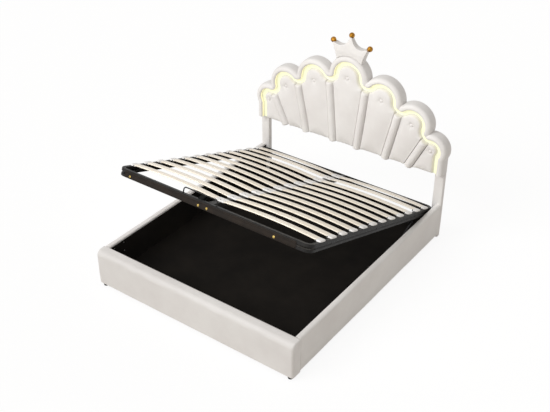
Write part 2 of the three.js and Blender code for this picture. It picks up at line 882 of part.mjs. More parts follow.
function halfFrame() {
  const lowerTop = -upperTubeHeight - tubeSpacing;
  const upper = bentTube(-upperTubeHeight, 0);
  const lower = bentTube(lowerTop - lowerTubeHeight, lowerTop);
  const spacers = spacerPlaceShares.map((share) => {
    const middle = -platformLength * share;
    return block(
      [upper.inner + tubeEdge, middle - spacerLength / 2, lowerTop - tubeEdge],
      [platformHalf - tubeEdge, middle + spacerLength / 2, tubeEdge - upperTubeHeight],
    );
  });
  const boss = crossPin(pivotBossRadius, upper.inner, platformHalf - tubeEdge, -pivotSetback, -pivotDrop);
  const bore = crossPin(
    pivotPinRadius + pinClearance,
    upper.inner - tubeWidth,
    platformHalf + cutOverrun,
    -pivotSetback,
    -pivotDrop,
  );
  return cut(join([upper.made, lower.made, ...spacers, boss, strutLug(upper.inner)]), [bore]);
}

// The lug hangs under the lower tube and carries the strut's head
function strutLug(inner) {
  const shape = new THREE.Shape();
  const half = lugLength / 2;
  const low = -strutHeadDrop - lugMargin;
  const middle = -strutHeadSetback;
  shape.moveTo(middle - half - lugMargin, lugWeld - frameDepth);
  shape.lineTo(middle - half, low + lugMargin);
  shape.absarc(middle - half + lugMargin, low + lugMargin, lugMargin, Math.PI, 1.5 * Math.PI);
  shape.absarc(middle + half - lugMargin, low + lugMargin, lugMargin, 1.5 * Math.PI, 2 * Math.PI);
  shape.lineTo(middle + half + lugMargin, lugWeld - frameDepth);
  return sidePlate(shape, strutAcross - eyeWidth / 2 - lugThickness, strutAcross - eyeWidth / 2 - seatGap);
}

function addFrame(platform) {
  const half = halfFrame();
  piece(platform, "right_half_frame", half, blackSteel());
  piece(platform, "left_half_frame", mirrored(half), blackSteel());
  const rail = flatPlate(
    roundedRectangle(
      [-centreRailWidth / 2, tubeWidth + seatGap - platformLength],
      [centreRailWidth / 2, -tubeWidth - seatGap],
      tubeEdge * 2,
    ),
    -centreRailHeight,
    0,
    tubeEdge,
  );
  piece(platform, "centre_rail", rail, blackSteel());
  const plateBack = -platformLength - seatGap;
  const plate = uprightPlate(
    roundedRectangle(
      [-footPlateLeft, -footPlateDrop - footPlateHeight],
      [footPlateRight, -footPlateDrop],
      tubeEdge,
    ),
    plateBack - footPlateThickness,
    plateBack,
  );
  piece(platform, "foot_plate", plate, blackSteel());
}

// One slat row: two sprung slats with plastic end caps and a double cap on the centre rail
function slatRow(setback) {
  const capBottom = seatGap;
  const ends = platformHalf - capOverhang;
  const slatInner = centreCapLength / 2 - slatSeat;
  const slatOuter = ends - slatSeat;
  const base = capBottom + slatLift;
  const profile = new THREE.Shape([
    ...sweep(0, 1, slatSteps, (share) => arch(share, slatInner, slatOuter, base)),
    ...sweep(1, 0, slatSteps, (share) => arch(share, slatInner, slatOuter, base + slatThickness)),
  ]);
  const half = slatWidth / 2;
  const slat = uprightPlate(profile, -setback - half, -setback + half);
  const cap = (low, high) => {
    const outline = roundedRectangle(
      [low, -setback - capWidth / 2],
      [high, -setback + capWidth / 2],
      capCornerRadius,
    );
    return flatPlate(outline, capBottom, capBottom + capHeight, capEdge, 1);
  };
  const endCap = cap(ends - capLength, ends);
  const centreCap = cap(-centreCapLength / 2, centreCapLength / 2);
  return join([slat, mirrored(slat), endCap, mirrored(endCap), centreCap]);
}

function arch(share, from, to, base) {
  const bow = 4 * share * (1 - share);
  return new THREE.Vector2(from + (to - from) * share, base + slatRise * bow);
}

function addSlats(platform) {
  const pitch = (lastSlat - firstSlat) / (slatRows - 1);
  for (let i = 0; i < slatRows; i += 1) {
    const made = slatRow(firstSlat + pitch * i);
    piece(platform, `slat_row_${String(i + 1).padStart(2, "0")}`, made, birch());
  }
}

// Wire hoop that keeps the mattress from sliding off, standing on the foot tube
function addHoop(platform) {
  const along = tubeWidth / 2 - platformLength;
  const low = seatGap;
  const high = hoopHeight - hoopRadius;
  const half = hoopWidth / 2;
  const at = (across, up) => new THREE.Vector3(hoopCentre + across, along, up);
  const path = new THREE.CurvePath();
  const leftLeg = at(-half, high - hoopBend);
  const leftTop = at(hoopBend - half, high);
  const rightTop = at(half - hoopBend, high);
  const rightLeg = at(half, high - hoopBend);
  path.add(new THREE.LineCurve3(at(-half, low), leftLeg));
  path.add(new THREE.QuadraticBezierCurve3(leftLeg, at(-half, high), leftTop));
  path.add(new THREE.LineCurve3(leftTop, rightTop));
  path.add(new THREE.QuadraticBezierCurve3(rightTop, at(half, high), rightLeg));
  path.add(new THREE.LineCurve3(rightLeg, at(half, low)));
  const section = new THREE.Shape().absarc(0, 0, hoopRadius, 0, 2 * Math.PI);
  const wire = new THREE.ExtrudeGeometry(section, {
    extrudePath: path,
    steps: hoopSteps,
    curveSegments: hoopCurves,
    bevelEnabled: false,
  });
  piece(platform, "mattress_hoop", wire, blackSteel());
}

// Pull strap: a loop of webbing from the top of the foot tube round to its inner face
function addStrap(platform) {
  const top = tubeWidth / 2 - platformLength;
  const face = tubeWidth - platformLength + seatGap;
  const places = [
    [top, seatGap + strapThickness / 2],
    ...strapTurnShares.map(([along, up]) => [face + strapLoop * along, strapLoop * up]),
    [face + strapThickness / 2, strapLoop * strapTuckShare],
  ];
  const loop = new THREE.CatmullRomCurve3(places.map(([along, up]) => new THREE.Vector3(along, up, 0)));
  const path = loop.getPoints(strapSteps);
  const side = (sign) =>
    path.map((p, i) => {
      const ahead = path[Math.min(i + 1, path.length - 1)];
      const behind = path[Math.max(i - 1, 0)];
      const way = ahead.clone().sub(behind).setLength((sign * strapThickness) / 2);
      return new THREE.Vector2(p.x - way.y, p.y + way.x);
    });
  const shape = new THREE.Shape([...side(1), ...side(-1).reverse()]);
  const made = sidePlate(shape, strapCentre - strapWidth / 2, strapCentre + strapWidth / 2);
  piece(platform, "pull_strap", made, webbing());
}

// Lift base: a steel plate on the lining board with the hinge pin and the stud for the strut
function pivotPlace() {
  const along = headEdge - pivotSetback * Math.cos(tilt) - pivotDrop * Math.sin(tilt);
  const up = platformHeadHeight + pivotSetback * Math.sin(tilt) - pivotDrop * Math.cos(tilt);
  return { along, up };
}

function liftBase() {
  const pivot = pivotPlace();
  const barTop = basePlateBottom + baseBarHeight;
  const headTop = pivot.up + baseHeadMargin;
  const headFrontEdge = basePlateHead - baseHeadWidth;
  const shape = new THREE.Shape();
  shape.moveTo(basePlateFoot, basePlateBottom);
  shape.lineTo(basePlateHead, basePlateBottom);
  shape.lineTo(basePlateHead, headTop);
  shape.lineTo(headFrontEdge, headTop);
  const barStart = headFrontEdge - baseHeadWidth * baseHeadRunShare;
  shape.quadraticCurveTo(headFrontEdge, barTop, barStart, barTop);
  shape.lineTo(basePlateFoot, barTop);
  const inner = innerHalf - basePlateThickness;
  const plate = sidePlate(shape, inner, innerHalf - seatGap / 3);
  const slots = baseSlotShares.map((share) => {
    const middle = basePlateFoot + (basePlateHead - basePlateFoot) * share;
    const up = basePlateBottom + baseBarHeight / 2;
    const outline = roundedRectangle(
      [middle - baseSlotLength / 2, up - baseSlotHeight / 2],
      [middle + baseSlotLength / 2, up + baseSlotHeight / 2],
      baseSlotHeight / 2 - seatGap,
    );
    return sidePlate(outline, inner - cutOverrun, innerHalf + cutOverrun);
  });
  const sunk = basePlateThickness / 2;
  const pinEnd = platformHalf - tubeWidth;
  const pin = crossPin(pivotPinRadius, pinEnd, inner + sunk, pivot.along, pivot.up);
  const stud = crossPin(studRadius, strutAcross - eyeWidth, inner + sunk, strutFoot, strutFootHeight);
  return join([cut(plate, slots), pin, stud]);
}

// Gas strut along its own +Y, from the stud on the base to the lug on the platform
function addStruts(bed) {
  const base = liftBase();
  piece(bed, "right_lift_base", base, blackSteel());
  piece(bed, "left_lift_base", mirrored(base), blackSteel());
  const { along, up } = pivotPlace();
  const reach = pivotSetback - strutHeadSetback;
  const drop = pivotDrop - strutHeadDrop;
  const headAlong = along + reach * Math.cos(tilt) + drop * Math.sin(tilt);
  const headUp = up - reach * Math.sin(tilt) + drop * Math.cos(tilt);
  const length = Math.hypot(headAlong - strutFoot, headUp - strutFootHeight);
  const lean = Math.atan2(headUp - strutFootHeight, headAlong - strutFoot);
  const strut = new THREE.Group();
  strut.position.set(0, strutFoot, strutFootHeight);
  strut.rotation.x = lean;
  bed.add(strut);
  const tube = strutTube();
  const rod = strutRod(length);
  piece(strut, "right_strut_tube", tube, blackSteel());
  piece(strut, "left_strut_tube", mirrored(tube), blackSteel());
  piece(strut, "right_strut_rod", rod, brightSteel());
  piece(strut, "left_strut_rod", mirrored(rod), brightSteel());
}

function barAlong(radius, from, to, sides = roundSides) {
  const made = new THREE.CylinderGeometry(radius, radius, to - from, sides);
  return made.translate(strutAcross, (from + to) / 2, 0);
}

function strutTube() {
  const eye = crossPin(eyeRadius, strutAcross - eyeWidth / 2, strutAcross + eyeWidth / 2, 0, 0);
  const neck = barAlong(rodRadius + studRadius / 2, 0, strutBoreBottom / 2);
  const body = barAlong(strutTubeRadius, eyeRadius + studRadius, strutTubeLength);
  const hole = crossPin(
    studRadius + pinClearance,
    strutAcross - eyeWidth,
    strutAcross + eyeWidth,
    0,
    0,
  );
  const bore = barAlong(rodRadius + pinClearance, strutBoreBottom, strutTubeLength + cutOverrun);
  return cut(join([eye, neck, body]), [hole, bore]);
}

function strutRod(length) {
  const shaft = barAlong(rodRadius, rodStart, length);
  const eye = crossPin(eyeRadius, strutAcross - eyeWidth / 2, strutAcross + eyeWidth / 2, length, 0);
  const headEnd = strutAcross + eyeWidth / 2 + boltHeadHeight;
  const head = crossPin(boltHeadRadius, strutAcross, headEnd, length, 0, hexSides);
  return join([shaft, eye, head]);
}

// Assembly
const bed = new THREE.Group();
bed.position.y = -bedLength / 2;
addFootPanel(bed);
addRails(bed);
addFloor(bed);
addFeet(bed);
addLegs(bed);
addHeadboardShell(bed);
addPetals(bed);
addFlutes(bed);
addCrown(bed);
addStruts(bed);

const pivot = pivotPlace();
const hinge = new THREE.Group();
hinge.position.set(0, pivot.along, pivot.up);
hinge.rotation.x = -tilt;
bed.add(hinge);
const platform = new THREE.Group();
platform.position.set(0, pivotSetback, pivotDrop);
hinge.add(platform);
addFrame(platform);
addSlats(platform);
addHoop(platform);
addStrap(platform);

const ottomanBed = new THREE.Group();
ottomanBed.add(bed);
export default ottomanBed;
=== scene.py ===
import json
import math

import bmesh
import bpy
import numpy as np
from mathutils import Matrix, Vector
from mathutils.kdtree import KDTree


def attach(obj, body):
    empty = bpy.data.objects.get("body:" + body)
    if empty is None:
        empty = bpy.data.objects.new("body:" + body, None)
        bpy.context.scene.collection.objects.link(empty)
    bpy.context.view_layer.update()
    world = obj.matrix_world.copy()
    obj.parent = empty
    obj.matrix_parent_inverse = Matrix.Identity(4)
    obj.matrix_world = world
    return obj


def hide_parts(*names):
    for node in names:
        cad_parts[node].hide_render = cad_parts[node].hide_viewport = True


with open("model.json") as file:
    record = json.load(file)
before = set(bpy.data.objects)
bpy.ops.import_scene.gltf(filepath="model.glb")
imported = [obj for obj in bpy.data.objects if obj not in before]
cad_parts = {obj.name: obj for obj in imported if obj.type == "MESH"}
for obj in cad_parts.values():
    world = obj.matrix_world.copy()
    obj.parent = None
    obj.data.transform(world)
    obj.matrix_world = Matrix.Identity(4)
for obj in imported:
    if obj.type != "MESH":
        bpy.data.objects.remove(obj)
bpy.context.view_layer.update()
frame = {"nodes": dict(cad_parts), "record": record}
NODES = frame["nodes"]

# Sizes in millimetres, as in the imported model: y runs from the foot end, z from the floor
HALF, LENGTH = 950.0, 2230.0
RAIL_TOP, UNDERSIDE = 334.0, 24.0
RAIL_OUT, RAIL_LOW, LINING_TOP = 945.0, 33.0, 314.0
LEG_OUT, LEG_IN, LEG_FRONT = 944.0, 860.0, 2184.0
HEAD_FRONT, HEAD_BACK, CORE_FACE, HEAD_LOW = 2118.0, 2228.0, 2158.0, 640.0
BORDER, PETAL = 50.0, 90.3
LOBES = [((0.0, 1279.0), 187.0), ((333.0, 1170.0), 186.0), ((630.0, 1034.9), 172.0), ((820.0, 850.0), 142.0)]
FLUTE_FEET = [120.8, 404.0, 627.8]
TILT = math.radians(20)
EDGE_Y, EDGE_Z = 2172.0, 305.0
# The plane that flutes, petals and light strip stand on, and how far a petal stays off a flute's middle
PAD_BACK, FLUTE_GAP = CORE_FACE - 0.4, 36


def metres(points):
    """Millimetre points as row-frame metres."""
    return (np.asarray(points, float) - (0, LENGTH / 2, 0)) / 1000


def on_platform(points):
    """Points given as (across, from the head edge along the slope, above it)."""
    p = np.asarray(points, float)
    x, s, u = p[..., 0], p[..., 1], p[..., 2]
    y = EDGE_Y - s * math.cos(TILT) + u * math.sin(TILT)
    z = EDGE_Z + s * math.sin(TILT) + u * math.cos(TILT)
    return np.stack([x, y, z], -1)


# Camera, fitted to the corners of the box in the photograph
CAMERA_PLACE, AZIMUTH, ELEVATION = (3.5806, -4.9485, 4.5271), 36.003, 33.194


def set_camera():
    data = bpy.data.cameras.new("camera")
    data.sensor_width, data.lens = 36, 59.18
    data.clip_start, data.clip_end = 0.05, 100
    camera = bpy.data.objects.new("camera", data)
    bpy.context.scene.collection.objects.link(camera)
    camera.location = CAMERA_PLACE
    a, e = math.radians(AZIMUTH), math.radians(ELEVATION)
    back = Vector((math.sin(a) * math.cos(e), -math.cos(a) * math.cos(e), math.sin(e)))
    camera.rotation_mode = "QUATERNION"
    camera.rotation_quaternion = (-back).to_track_quat("-Z", "Y")
    bpy.context.scene.camera = camera


set_camera()
bpy.context.scene.view_settings.view_transform = "Standard"


# Materials
def linear(code):
    """A hex colour as linear light."""
    values = [int(code[i : i + 2], 16) / 255 for i in (1, 3, 5)]
    return tuple(v / 12.92 if v <= 0.04045 else ((v + 0.055) / 1.055) ** 2.4 for v in values) + (1,)


class Surface:
    """A node material with helpers for procedural detail in object coordinates."""

    def __init__(self, name, color, roughness, metallic=0.0, **sockets):
        self.material = bpy.data.materials.new(name)
        self.material.use_nodes = True
        self.tree = self.material.node_tree
        self.shader = self.tree.nodes["Principled BSDF"]
        self.put("Base Color", linear(color))
        self.put("Roughness", roughness)
        self.put("Metallic", metallic)
        for socket, value in sockets.items():
            self.put(socket.replace("_", " "), value)
        self.coords = self.node("ShaderNodeTexCoord").outputs["Object"]

    def node(self, kind, values=None, **settings):
        """A node with its settings and the values of its inputs."""
        made = self.tree.nodes.new(kind)
        for key, value in settings.items():
            setattr(made, key, value)
        for key, value in (values or {}).items():
            made.inputs[key].default_value = value
        return made

    def link(self, source, target):
        self.tree.links.new(source, target)

    def put(self, socket, value):
        self.shader.inputs[socket].default_value = value

    def scaled(self, stretch):
        mapping = self.node("ShaderNodeMapping", {"Scale": stretch})
        self.link(self.coords, mapping.inputs["Vector"])
        return mapping.outputs["Vector"]

    def noise(self, scale, detail=3.0, roughness=0.55, stretch=(1, 1, 1), distortion=0.0):
        values = {"Scale": scale, "Detail": detail, "Roughness": roughness, "Distortion": distortion}
        made = self.node("ShaderNodeTexNoise", values)
        self.link(self.scaled(stretch), made.inputs["Vector"])
        return made.outputs["Fac"]

    def cells(self, scale, stretch=(1, 1, 1), feature="F1"):
        made = self.node("ShaderNodeTexVoronoi", {"Scale": scale}, feature=feature)
        self.link(self.scaled(stretch), made.inputs["Vector"])
        return made.outputs["Distance"]

    def waves(self, scale, direction):
        made = self.node("ShaderNodeTexWave", {"Scale": scale}, bands_direction=direction)
        self.link(self.coords, made.inputs["Vector"])
        return made.outputs["Fac"]

    def spread(self, value, low, high, to_low=0.0, to_high=1.0):
        ends = {"From Min": low, "From Max": high, "To Min": to_low, "To Max": to_high}
        made = self.node("ShaderNodeMapRange", ends)
        self.link(value, made.inputs["Value"])
        return made.outputs["Result"]

    def tint(self, factor, dark, light):
        made = self.node("ShaderNodeMix", data_type="RGBA")
        self.link(factor, made.inputs["Factor"])
        for key, value in ((6, dark), (7, light)):
            if hasattr(value, "is_output"):
                self.link(value, made.inputs[key])
            else:
                made.inputs[key].default_value = linear(value)
        return made.outputs[2]

    def color(self, value):
        self.link(value, self.shader.inputs["Base Color"])

    def rough(self, value):
        self.link(value, self.shader.inputs["Roughness"])

    def bump(self, layers):
        """Layers of (height, strength, distance in metres), laid one on the other."""
        before = None
        for height, strength, distance in layers:
            made = self.node("ShaderNodeBump", {"Strength": strength, "Distance": distance})
            self.link(height, made.inputs["Height"])
            if before:
                self.link(before, made.inputs["Normal"])
            before = made.outputs["Normal"]
        self.link(before, self.shader.inputs["Normal"])


def leather():
    s = Surface("upholstery_leather", "#eae8e6", 0.5, Specular_IOR_Level=0.4)
    grain = s.cells(620, feature="SMOOTH_F1")
    pores = s.noise(1500, 2)
    folds = s.noise(7, 2, 0.45, stretch=(1, 1, 1.4))
    s.color(s.tint(s.spread(s.noise(3.5, 3), 0.35, 0.65), "#e3e0de", "#eae8e6"))
    s.rough(s.spread(s.noise(40, 3), 0.3, 0.7, 0.44, 0.56))
    s.bump([(folds, 0.18, 0.005), (grain, 0.35, 0.00035), (pores, 0.15, 0.0001)])
    return s.material


def lining():
    s = Surface("lining_fabric", "#100e0c", 0.95, Specular_IOR_Level=0.12)
    fibres = s.noise(900, 3, 0.7)
    weave = s.cells(420)
    s.color(s.tint(s.spread(s.noise(5, 3), 0.3, 0.7), "#100e0c", "#1a1714"))
    s.rough(s.spread(fibres, 0.3, 0.7, 0.88, 0.99))
    s.bump([(weave, 0.4, 0.0004), (fibres, 0.3, 0.0003)])
    return s.material


def black_steel(name="coated_steel", base="#0d0c0b", light="#161412", shine=0.22):
    s = Surface(name, base, 0.48, Specular_IOR_Level=shine)
    peel = s.noise(420, 2)
    s.color(s.tint(s.spread(s.noise(14, 4), 0.35, 0.7), base, light))
    s.rough(s.spread(s.noise(60, 3), 0.3, 0.7, 0.4, 0.56))
    s.bump([(peel, 0.25, 0.0002)])
    return s.material


def birch():
    s = Surface("birch_slats", "#efe6d6", 0.36, Specular_IOR_Level=0.6, Coat_Weight=0.25, Coat_Roughness=0.3)
    plies = s.noise(26, 2, 0.5, stretch=(0.02, 1, 1))
    grain = s.noise(90, 5, 0.6, stretch=(0.035, 1, 1), distortion=0.4)
    fibre = s.noise(420, 3, 0.6, stretch=(0.03, 1, 1))
    flecks = s.cells(160, stretch=(0.12, 1, 1))
    first = s.tint(s.spread(grain, 0.34, 0.68), "#e4d8c5", "#f8f2e6")
    second = s.tint(s.spread(plies, 0.35, 0.65), "#eee3d2", first)
    s.color(s.tint(s.spread(flecks, 0.0, 0.1), "#d5c3a4", second))
    s.rough(s.spread(fibre, 0.3, 0.7, 0.3, 0.44))
    s.bump([(fibre, 0.2, 0.0003), (grain, 0.15, 0.0005)])
    return s.material


def white_plastic():
    s = Surface("white_plastic", "#ebe9e6", 0.38, Specular_IOR_Level=0.5)
    s.color(s.tint(s.spread(s.noise(30, 3), 0.35, 0.65), "#dfddda", "#eceae8"))
    s.rough(s.spread(s.noise(90, 3), 0.3, 0.7, 0.33, 0.45))
    s.bump([(s.noise(700, 2), 0.12, 0.0001)])
    return s.material


def black_plastic():
    s = Surface("black_plastic", "#0e0e0e", 0.55, Specular_IOR_Level=0.3)
    s.color(s.tint(s.spread(s.noise(40, 3), 0.35, 0.65), "#0b0b0b", "#151514"))
    s.rough(s.spread(s.noise(120, 3), 0.3, 0.7, 0.48, 0.62))
    s.bump([(s.noise(800, 2), 0.2, 0.0002)])
    return s.material


def metal(name, base, shade, roughness, streak=(1, 1, 1), facets=0.0):
    s = Surface(name, base, roughness, 1.0)
    marks = s.noise(220, 3, 0.6, stretch=streak)
    tone = s.cells(95) if facets else s.noise(60, 3)
    s.color(s.tint(s.spread(tone, 0.15, 0.65), shade, base))
    s.rough(s.spread(marks, 0.3, 0.7, roughness * 0.75, roughness * 1.35))
    layers = [(marks, 0.1, 0.0001)]
    if facets:
        layers.insert(0, (s.cells(95), facets, 0.004))
    s.bump(layers)
    return s.material


def webbing():
    s = Surface("strap_webbing", "#0d0d0d", 0.9, Specular_IOR_Level=0.1)
    ribs = s.waves(170, "X")
    s.color(s.tint(ribs, "#090909", "#131312"))
    s.rough(s.spread(s.noise(300, 3), 0.3, 0.7, 0.78, 0.92))
    s.bump([(ribs, 0.6, 0.0006), (s.waves(170, "Y"), 0.3, 0.0004)])
    return s.material


def light(name, cover, glow, strength):
    """A lit, slightly cloudy plastic: cover and glow are pairs of colours."""
    s = Surface(name, cover[1], 0.5)
    cloud = s.spread(s.noise(55, 2), 0.3, 0.7)
    s.color(s.tint(cloud, *cover))
    s.link(s.tint(cloud, *glow), s.shader.inputs["Emission Color"])
    s.put("Emission Strength", strength)
    s.bump([(s.noise(300, 2), 0.1, 0.0002)])
    return s.material


LEATHER = leather()
LINING = lining()
# The foot plate's steel is a lighter copy of the frame's coated steel. It is painted light because the plate
# faces the lamps, while the darker copy stands for the frame's shaded sides
STEEL = black_steel()
LIT_PLATE_STEEL = black_steel("coated_steel_lit_copy", "#17120e", "#211a14", 0.13)
BIRCH = birch()
CAPS = white_plastic()
PLASTIC = black_plastic()
CHROME = metal("dark_chrome", "#4c4c4d", "#3b3b3c", 0.34, (1, 0.05, 1))
GOLD = metal("ornate_gold", "#b5802f", "#5e3910", 0.3, facets=0.7)
BRASS = metal("brass_bolts", "#c4ac68", "#7f672e", 0.38)
ZINC = metal("zinc_screws", "#a9a9a6", "#7d7d7a", 0.35)
WEBBING = webbing()
LIGHT = light("light_diffuser", ("#d9dcc4", "#dfe2cc"), ("#f8fdd0", "#fbffda"), 0.31)
# A glowing strip on the border's inner wall: painted light, for the light strip's glow falling on the wall
WALL_GLOW = light("painted_wall_glow", ("#e2deb0", "#e8e4bc"), ("#fbf0b8", "#fdf5c6"), 0.5)

BY_SLOT = {
    "upholstery": LEATHER,
    "lining": LINING,
    "black_steel": STEEL,
    "birch": BIRCH,
    "bright_steel": CHROME,
    "gold": GOLD,
    "black_plastic": PLASTIC,
    "webbing": WEBBING,
    "diffuser": LIGHT,
}
for part in frame["record"]["subparts"]:
    node = NODES[part["node"]]
    node.data.materials.clear()
    node.data.materials.append(BY_SLOT[part["material_slot"]])


# Mesh building
def piece(name, parts, material, body, stands_for=(), angle=40):
    """One mesh object from parts of (points in metres, faces)."""
    points, faces, start = [], [], 0
    for part_points, part_faces in parts:
        points.append(np.asarray(part_points, float).reshape(-1, 3))
        faces += [[i + start for i in face] for face in part_faces]
        start += len(points[-1])
    mesh = bpy.data.meshes.new(name)
    mesh.from_pydata(np.concatenate(points).tolist(), [], faces)
    work = bmesh.new()
    work.from_mesh(mesh)
    bmesh.ops.remove_doubles(work, verts=work.verts, dist=2e-5)
    bmesh.ops.recalc_face_normals(work, faces=work.faces)
    work.to_mesh(mesh)
    work.free()
    mesh.shade_smooth()
    mesh.set_sharp_from_angle(angle=math.radians(angle))
    made = bpy.data.objects.new(name, mesh)
    bpy.context.scene.collection.objects.link(made)
    mesh.materials.append(material)
    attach(made, body)
    if stands_for:
        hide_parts(*stands_for)
    return made


def cushion(name, part, stands_for):
    """A padded leather cover that rides on bed_box and stands for one node."""
    return piece(name, [part], LEATHER, "bed_box", [stands_for])


def loft(rings):
    """Points and faces of closed rings of equal counts joined in order, with both ends capped."""
    rings = np.asarray(rings, float)
    n, m = rings.shape[:2]
    faces = []
    for r in range(n - 1):
        for i in range(m):
            a, b = r * m + i, r * m + (i + 1) % m
            faces.append([a, b, b + m, a + m])
    hubs = np.stack([rings[0].mean(0), rings[-1].mean(0)])
    for end, start in ((0, 0), (1, (n - 1) * m)):
        for i in range(m):
            face = [start + i, start + (i + 1) % m, n * m + end]
            faces.append(face[::-1] if end == 0 else face)
    return np.concatenate([rings.reshape(-1, 3), hubs]), faces


def mirror(part):
    points, faces = part
    return np.asarray(points, float) * (-1, 1, 1), [face[::-1] for face in faces]


def round_points(centre, radius, angles):
    """Points round a centre, at angles in radians."""
    return np.stack([centre[0] + radius * np.cos(angles), centre[1] + radius * np.sin(angles)], -1)


def arc(centre, radius, start, end, steps):
    """Points of an arc between two angles in degrees."""
    return round_points(centre, radius, np.radians(np.linspace(start, end, steps + 1)))


def full_turn(count):
    return np.linspace(0, 2 * math.pi, count, endpoint=False)


def rounding(radius, distance):
    """How far a rounded edge lies inside the sharp one, at a distance from the end it rounds off."""
    return radius - math.sqrt(max(0.0, radius**2 - max(0.0, radius - distance) ** 2))


def even_loop(loop, steps):
    """Points at so many even steps round a closed loop."""
    points = np.concatenate([loop, loop[:1]])
    lengths = np.concatenate([[0], np.cumsum(np.linalg.norm(np.diff(points, axis=0), axis=1))])
    at = np.linspace(0, lengths[-1], steps + 1)[:-1]
    return np.stack([np.interp(at, lengths, points[:, k]) for k in (0, 1)], -1)


# Headboard outline
def notch_between(a, b):
    """Where the circles of two lobes cross, on the outside."""
    (ca, ra), (cb, rb) = a, b
    ca, cb = np.array(ca), np.array(cb)
    d = np.linalg.norm(cb - ca)
    along = (cb - ca) / d
    reach = (d * d + ra * ra - rb * rb) / (2 * d)
    out = np.array([-along[1], along[0]])
    return ca + along * reach + out * math.sqrt(ra * ra - reach * reach)


last_centre, last_radius = LOBES[-1]
WAIST = np.array([LEG_OUT, last_centre[1] - math.sqrt(last_radius**2 - (LEG_OUT - last_centre[0]) ** 2)])
NOTCHES = [notch_between(a, b) for a, b in zip(LOBES, LOBES[1:])] + [WAIST]


def bearing(centre, point):
    """The angle at which a point lies, seen from a centre."""
    return math.atan2(point[1] - centre[1], point[0] - centre[0])


def lobe_span(i):
    """The angles between which the rim runs round lobe i."""
    centre = LOBES[i][0]
    start = math.pi / 2 if i == 0 else bearing(centre, NOTCHES[i - 1])
    return start, bearing(centre, NOTCHES[i])


def notch_span(i):
    """The angles between which the rim turns in notch i, or down the leg after the last lobe."""
    start = bearing(LOBES[i][0], NOTCHES[i])
    return start, (bearing(LOBES[i + 1][0], NOTCHES[i]) if i + 1 < len(LOBES) else 0.0)


def right_rim(lobe_steps=26, notch_steps=14):
    """Rows of (rim x, rim z, out x, out z, how near to the middle of a notch)."""
    rows = []
    for i, (centre, radius) in enumerate(LOBES):
        for a in np.linspace(*lobe_span(i), lobe_steps):
            out = (math.cos(a), math.sin(a))
            rows.append((centre[0] + radius * out[0], centre[1] + radius * out[1], *out, 0.0))
        start, end = notch_span(i)
        middle, width = (start + end) / 2, abs(end - start) / 2
        for a in np.linspace(start, end, notch_steps + 2)[1:-1]:
            near = 0.0 if i == len(LOBES) - 1 else max(0.0, 1 - abs(a - middle) / width)
            rows.append((*NOTCHES[i], math.cos(a), math.sin(a), near))
    for z in np.linspace(WAIST[1], HEAD_LOW, 14):
        rows.append((LEG_OUT, z, 1.0, 0.0, 0.0))
    return np.array(rows)


def whole_rim(**steps):
    right = right_rim(**steps)
    left = right[1:][::-1] * (-1, 1, -1, 1, 1)
    return np.concatenate([left, right])


CREASE_DEPTH = 40


def rim_sweep(section, crease=0.0, **steps):
    """A section of (inset, y) carried round the rim; a crease pulls its front back at the notches."""
    rings = []
    for x, z, ox, oz, near in whole_rim(**steps):
        ring = []
        for inset, y in section:
            front = max(0.0, 1 - (y - HEAD_FRONT) / CREASE_DEPTH)
            ring.append((x - ox * inset, y + crease * near**3 * front, z - oz * inset))
        rings.append(ring)
    return loft(metres(rings))


def border_section():
    radius, inner = 34.0, 17.0
    back = [(3.0, HEAD_BACK), (0.8, HEAD_BACK - 1.5), (0.0, HEAD_BACK - 5)]
    side = [
        (-1.6 * math.sin(math.pi * (y - HEAD_FRONT - radius) / 68), y)
        for y in np.linspace(HEAD_BACK - 12, HEAD_FRONT + radius, 8)
    ]
    front = [
        (radius * (1 - math.cos(a)), HEAD_FRONT + radius * (1 - math.sin(a)))
        for a in np.radians(np.linspace(8, 84, 11))
    ]
    crest = [(radius - 1, HEAD_FRONT)]
    roll = [
        (BORDER - inner + inner * math.sin(a), HEAD_FRONT + inner * (1 - math.cos(a)))
        for a in np.radians(np.linspace(12, 90, 8))
    ]
    wall = [(BORDER, y) for y in (2146.0, 2160.0, 2200.0, HEAD_BACK)]
    return back + side + front + crest + roll + wall


cushion("border_cushion", rim_sweep(border_section(), crease=7.0), "headboard_border")


# Light strip: a flat diffuser on the floor of its channel, and a glowing strip on the border's wall that is
# painted light, standing for the strip's glow falling on that wall
def diffuser_section():
    low, high = 51.0, 89.0
    centre, half = (low + high) / 2, (high - low) / 2
    turn = np.linspace(math.pi, 0, 13)
    dome = [(centre + half * math.cos(a), PAD_BACK - 1 - 2.6 * math.sin(a) ** 0.7) for a in turn]
    return [(low, PAD_BACK), *dome, (high, PAD_BACK)]


# The glowing wall strip is painted light: the light strip's glow on the border's inner wall
WALL_GLOW_PROFILE = [(0.4, 10), (2.4, 10.4), (3.0, 11.6), (3.2, 18), (3.0, 24.4), (2.4, 25.6), (0.4, 26)]
STRIP_STEPS = {"lobe_steps": 22, "notch_steps": 12}
diffuser = rim_sweep(diffuser_section(), **STRIP_STEPS)
piece("light_diffuser", [diffuser], LIGHT, "bed_box", ["led_strip"])
wall_glow = rim_sweep([(BORDER + inset, CORE_FACE - rise) for inset, rise in WALL_GLOW_PROFILE], **STRIP_STEPS)
piece("painted_wall_glow", [wall_glow], WALL_GLOW, "bed_box")


# Flutes and petals; a flute is (its foot, the way along it, the way across it, its notch)
FLUTES = []
for foot_x, notch in zip(FLUTE_FEET, NOTCHES):
    foot = np.array([foot_x, HEAD_LOW])
    along = (notch - foot) / np.linalg.norm(notch - foot)
    FLUTES.append((foot, along, np.array([along[1], -along[0]]), notch))


def valley_entry(i, side):
    """The bearing at which a petal's edge beside flute i runs into the arc round the notch."""
    _, along, across, notch = FLUTES[i]
    below = math.sqrt(PETAL**2 - FLUTE_GAP**2)
    point = notch - along * below + across * side * FLUTE_GAP
    return bearing(point, notch)


